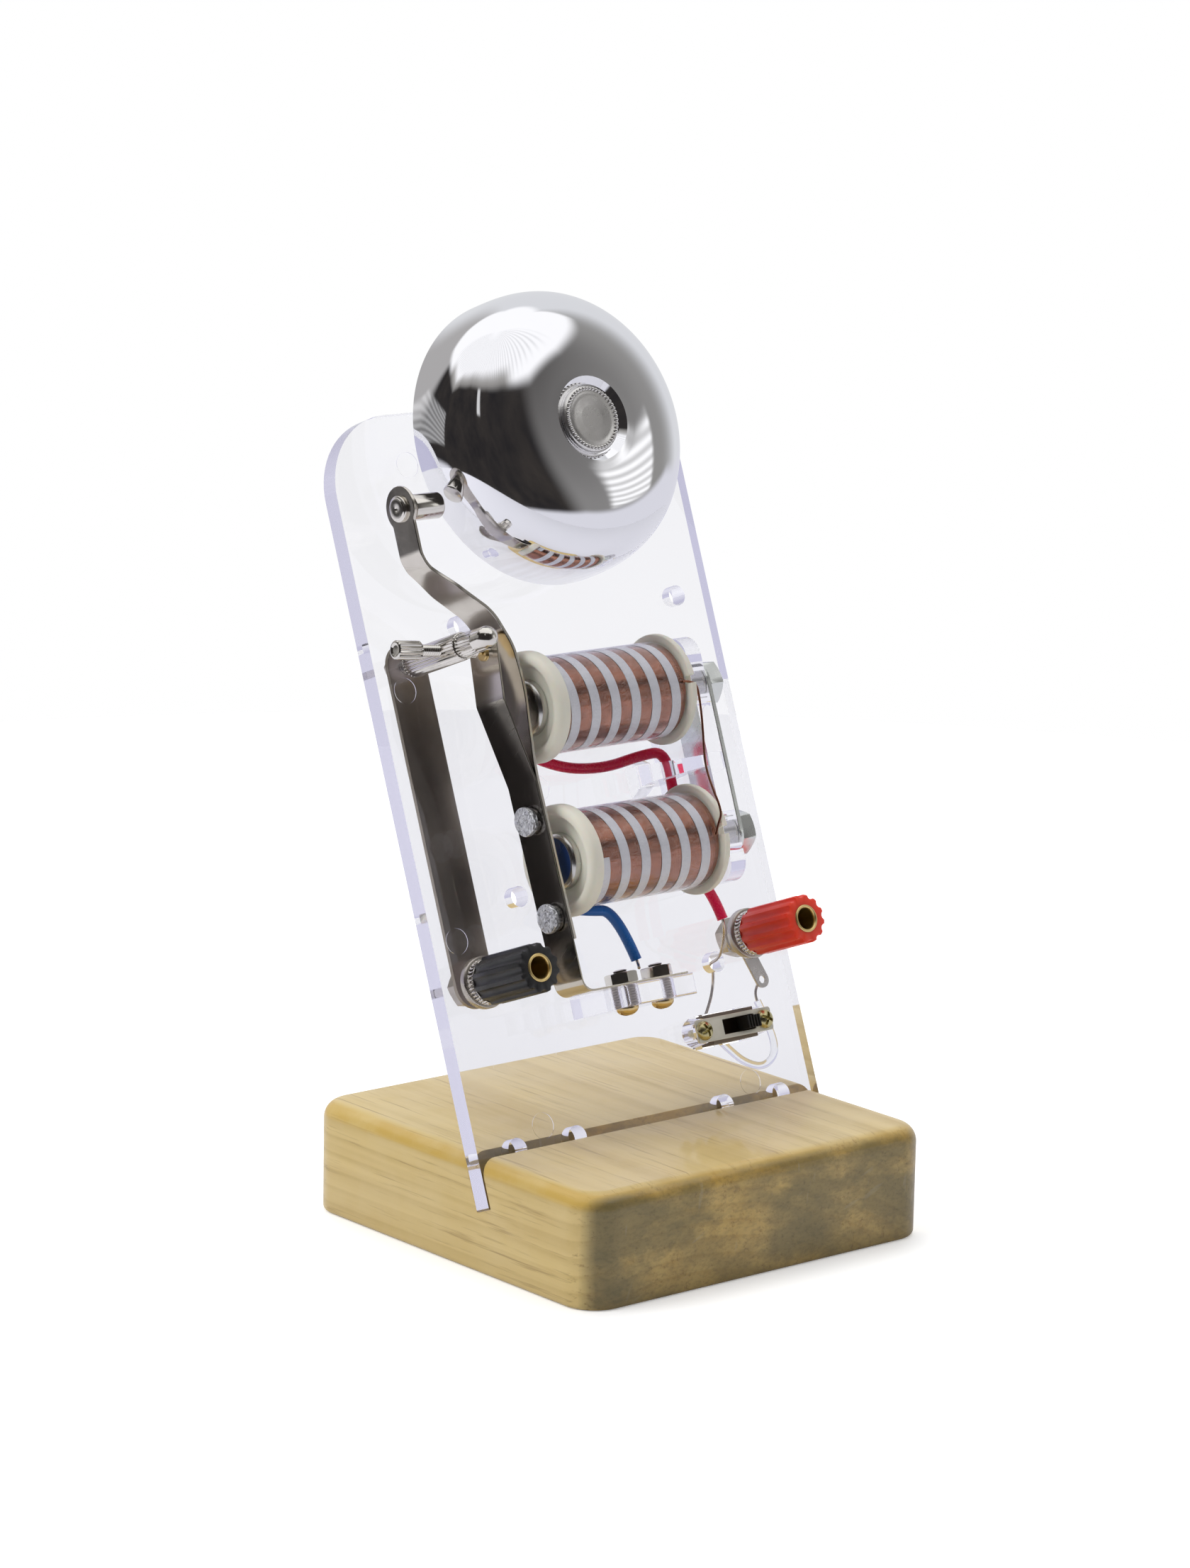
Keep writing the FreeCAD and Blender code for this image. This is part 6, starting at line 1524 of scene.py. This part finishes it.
# %% Walls and ceiling
def room_walls(sky, where):
    """A dark side with two louvred windows and a small lamp, grey to the right, pale at the far right, mid behind."""
    tree, turn, rise = sky
    walls = blend_colours(tree, cloud(tree, where, 3.0, 1.8), (0.014, 0.014, 0.017), (0.046, 0.040, 0.036))
    grey = blend_colours(tree, remap(tree, rise, 4.0, 40.0, smooth=True), (0.25, 0.245, 0.24), (0.105, 0.10, 0.097))
    grey = blend_colours(tree, remap(tree, turn, 34.0, 70.0, smooth=True), grey, (0.30, 0.295, 0.285))
    walls = blend_colours(tree, remap(tree, turn, 20.0, 32.0, smooth=True), walls, grey)
    walls = blend_colours(tree, remap(tree, turn, 66.0, 98.0, smooth=True), walls, (0.74, 0.75, 0.77))
    behind = maths(tree, "MAXIMUM", remap(tree, turn, -156.0, -146.0, 1.0, 0.0, True),
                   remap(tree, turn, 150.0, 176.0, smooth=True))
    walls = blend_colours(tree, behind, walls, (0.44, 0.43, 0.425))
    slant = maths(tree, "ADD", maths(tree, "MULTIPLY", rise, 2.4), maths(tree, "MULTIPLY", turn, 0.55))
    louvres = maths(tree, "ADD", maths(tree, "MULTIPLY", maths(tree, "SINE", slant), 0.28), 0.72)
    far_window = maths(tree, "MULTIPLY", window(sky, -158.0, -121.0, -4.0, 16.0), 0.34)
    bright = maths(tree, "MAXIMUM", window(sky, 41.0, 59.0, 2.0, 20.0), far_window)
    walls = blend_colours(tree, maths(tree, "MULTIPLY", bright, louvres), walls, (1.15, 1.15, 1.15))
    lamp = window(sky, -52.0, -45.0, 34.0, 50.0)
    return blend_colours(tree, maths(tree, "MULTIPLY", lamp, 0.75), walls, (0.9, 0.9, 0.9))


def room_ceiling(sky, edge):
    """Pale, with blinds across it and a cove of half shade along its edge."""
    tree, turn, _ = sky
    blinds = maths(tree, "MULTIPLY", remap(tree, maths(tree, "SINE", maths(tree, "MULTIPLY", turn, 1.5)), -0.2, 1.0),
                   window(sky, -150.0, 45.0, 46.0, 86.0, 6.0))
    overhead = blend_colours(tree, maths(tree, "MULTIPLY", blinds, 0.42), (1.08, 1.08, 1.09), (0.45, 0.46, 0.48))
    beside = maths(tree, "SUBTRACT", 1.0, above(sky, maths(tree, "ADD", edge, 7.0), 5.0))
    cove = maths(tree, "MULTIPLY", beside, window(sky, -140.0, 12.0, 26.0, 80.0, 8.0))
    return blend_colours(tree, cove, overhead, (0.34, 0.33, 0.315))


print("room parts:", room_walls.__name__, "and", room_ceiling.__name__)

# %% [markdown]
# Not every ray should see that room. The lens sees plain white behind the bell, and so does a look straight through
# the clear sheet. A ray that has wandered inside thick plastic sees pale lavender. Light Path tells them apart.

# %% World
SHEET_DEPTH = 3.5
WHITE, BEHIND_SHEET = (1.0, 1.0, 1.0), (1.0, 1.0, 0.995)


def room(world):
    """The room for metal and plain surfaces, white for the lens and through the sheet."""
    world.use_nodes = True
    tree = world.node_tree
    tree.nodes.clear()
    where = add(tree, "ShaderNodeTexCoord").outputs["Generated"]
    direction = add(tree, "ShaderNodeSeparateXYZ", {"Vector": where})
    x, y, z = (direction.outputs[axis] for axis in "XYZ")
    turn = maths(tree, "DIVIDE", maths(tree, "ARCTAN2", x, maths(tree, "MULTIPLY", y, -1.0)), math.radians(1.0))
    rise = maths(tree, "DIVIDE", maths(tree, "ARCSINE", z), math.radians(1.0))
    sky = (tree, turn, rise)
    edge = level(sky, CEILING_EDGE)
    table = above(sky, level(sky, TABLE_EDGE), 2.5)
    pale = blend_colours(tree, table, (0.74, 0.74, 0.80), room_walls(sky, where))
    seen = blend_colours(tree, above(sky, edge, 3.0), pale, room_ceiling(sky, edge))
    path = add(tree, "ShaderNodeLightPath")
    inner = blend_colours(tree, remap(tree, rise, 5.0, 35.0), (0.62, 0.61, 0.76), (1.0, 1.0, 1.04))
    wandered = maths(tree, "GREATER_THAN", path.outputs["Ray Depth"], SHEET_DEPTH)
    through = blend_colours(tree, wandered, BEHIND_SHEET, inner)
    # Metal that is seen through the sheet mirrors the room, not the white.
    mirrored = maths(tree, "MULTIPLY", maths(tree, "GREATER_THAN", path.outputs["Glossy Depth"], 0.5),
                     maths(tree, "GREATER_THAN", path.outputs["Transmission Depth"], 2.5))
    through = blend_colours(tree, mirrored, through, seen)
    colour = blend_colours(tree, path.outputs["Is Transmission Ray"], seen, through)
    colour = blend_colours(tree, path.outputs["Is Camera Ray"], colour, WHITE)
    sky_light = add(tree, "ShaderNodeBackground", {"Color": colour, "Strength": 1.0})
    add(tree, "ShaderNodeOutputWorld", {"Surface": sky_light.outputs["Background"]})
    world.cycles.sampling_method = "NONE"


world = bpy.data.worlds.new("room")
bpy.context.scene.world = world
room(world)
print("world nodes", len(world.node_tree.nodes))

# %% [markdown]
# ## Lamps
# Two large square lamps give the soft daylight that models the wood and the plastics: one from the left, one from
# above. Small lamps would draw hard shadows. Metal mirrors the room and not the lamps, which would be bare squares.

# %% Lamps
AIM_HIGH = 0.08
LAMP_WIDE = 0.8


def soft_lamp(name, where, watts):
    """A large square lamp aimed at the bell; metal doesn't mirror it."""
    light = bpy.data.lights.new(name, "AREA")
    light.shape = "SQUARE"
    light.size = LAMP_WIDE
    light.energy = watts
    lamp = bpy.data.objects.new(name, light)
    aim = Vector(where) - Vector((0, 0, AIM_HIGH))
    lamp.matrix_world = Matrix.Translation(where) @ aim.to_track_quat("Z", "Y").to_matrix().to_4x4()
    bpy.context.scene.collection.objects.link(lamp)
    lamp.visible_glossy = False
    lamp.visible_transmission = False
    lamp.visible_camera = False


soft_lamp("key_lamp", (-0.95, 0.25, 0.95), 8.5)
soft_lamp("top_lamp", (0.3, 0.4, 1.2), 4.5)
bpy.context.scene.view_settings.view_transform = "Standard"
print("lamps:", [light.name for light in bpy.data.lights])

# %% [markdown]
# ## The end

# %% Finish
print("scene built")
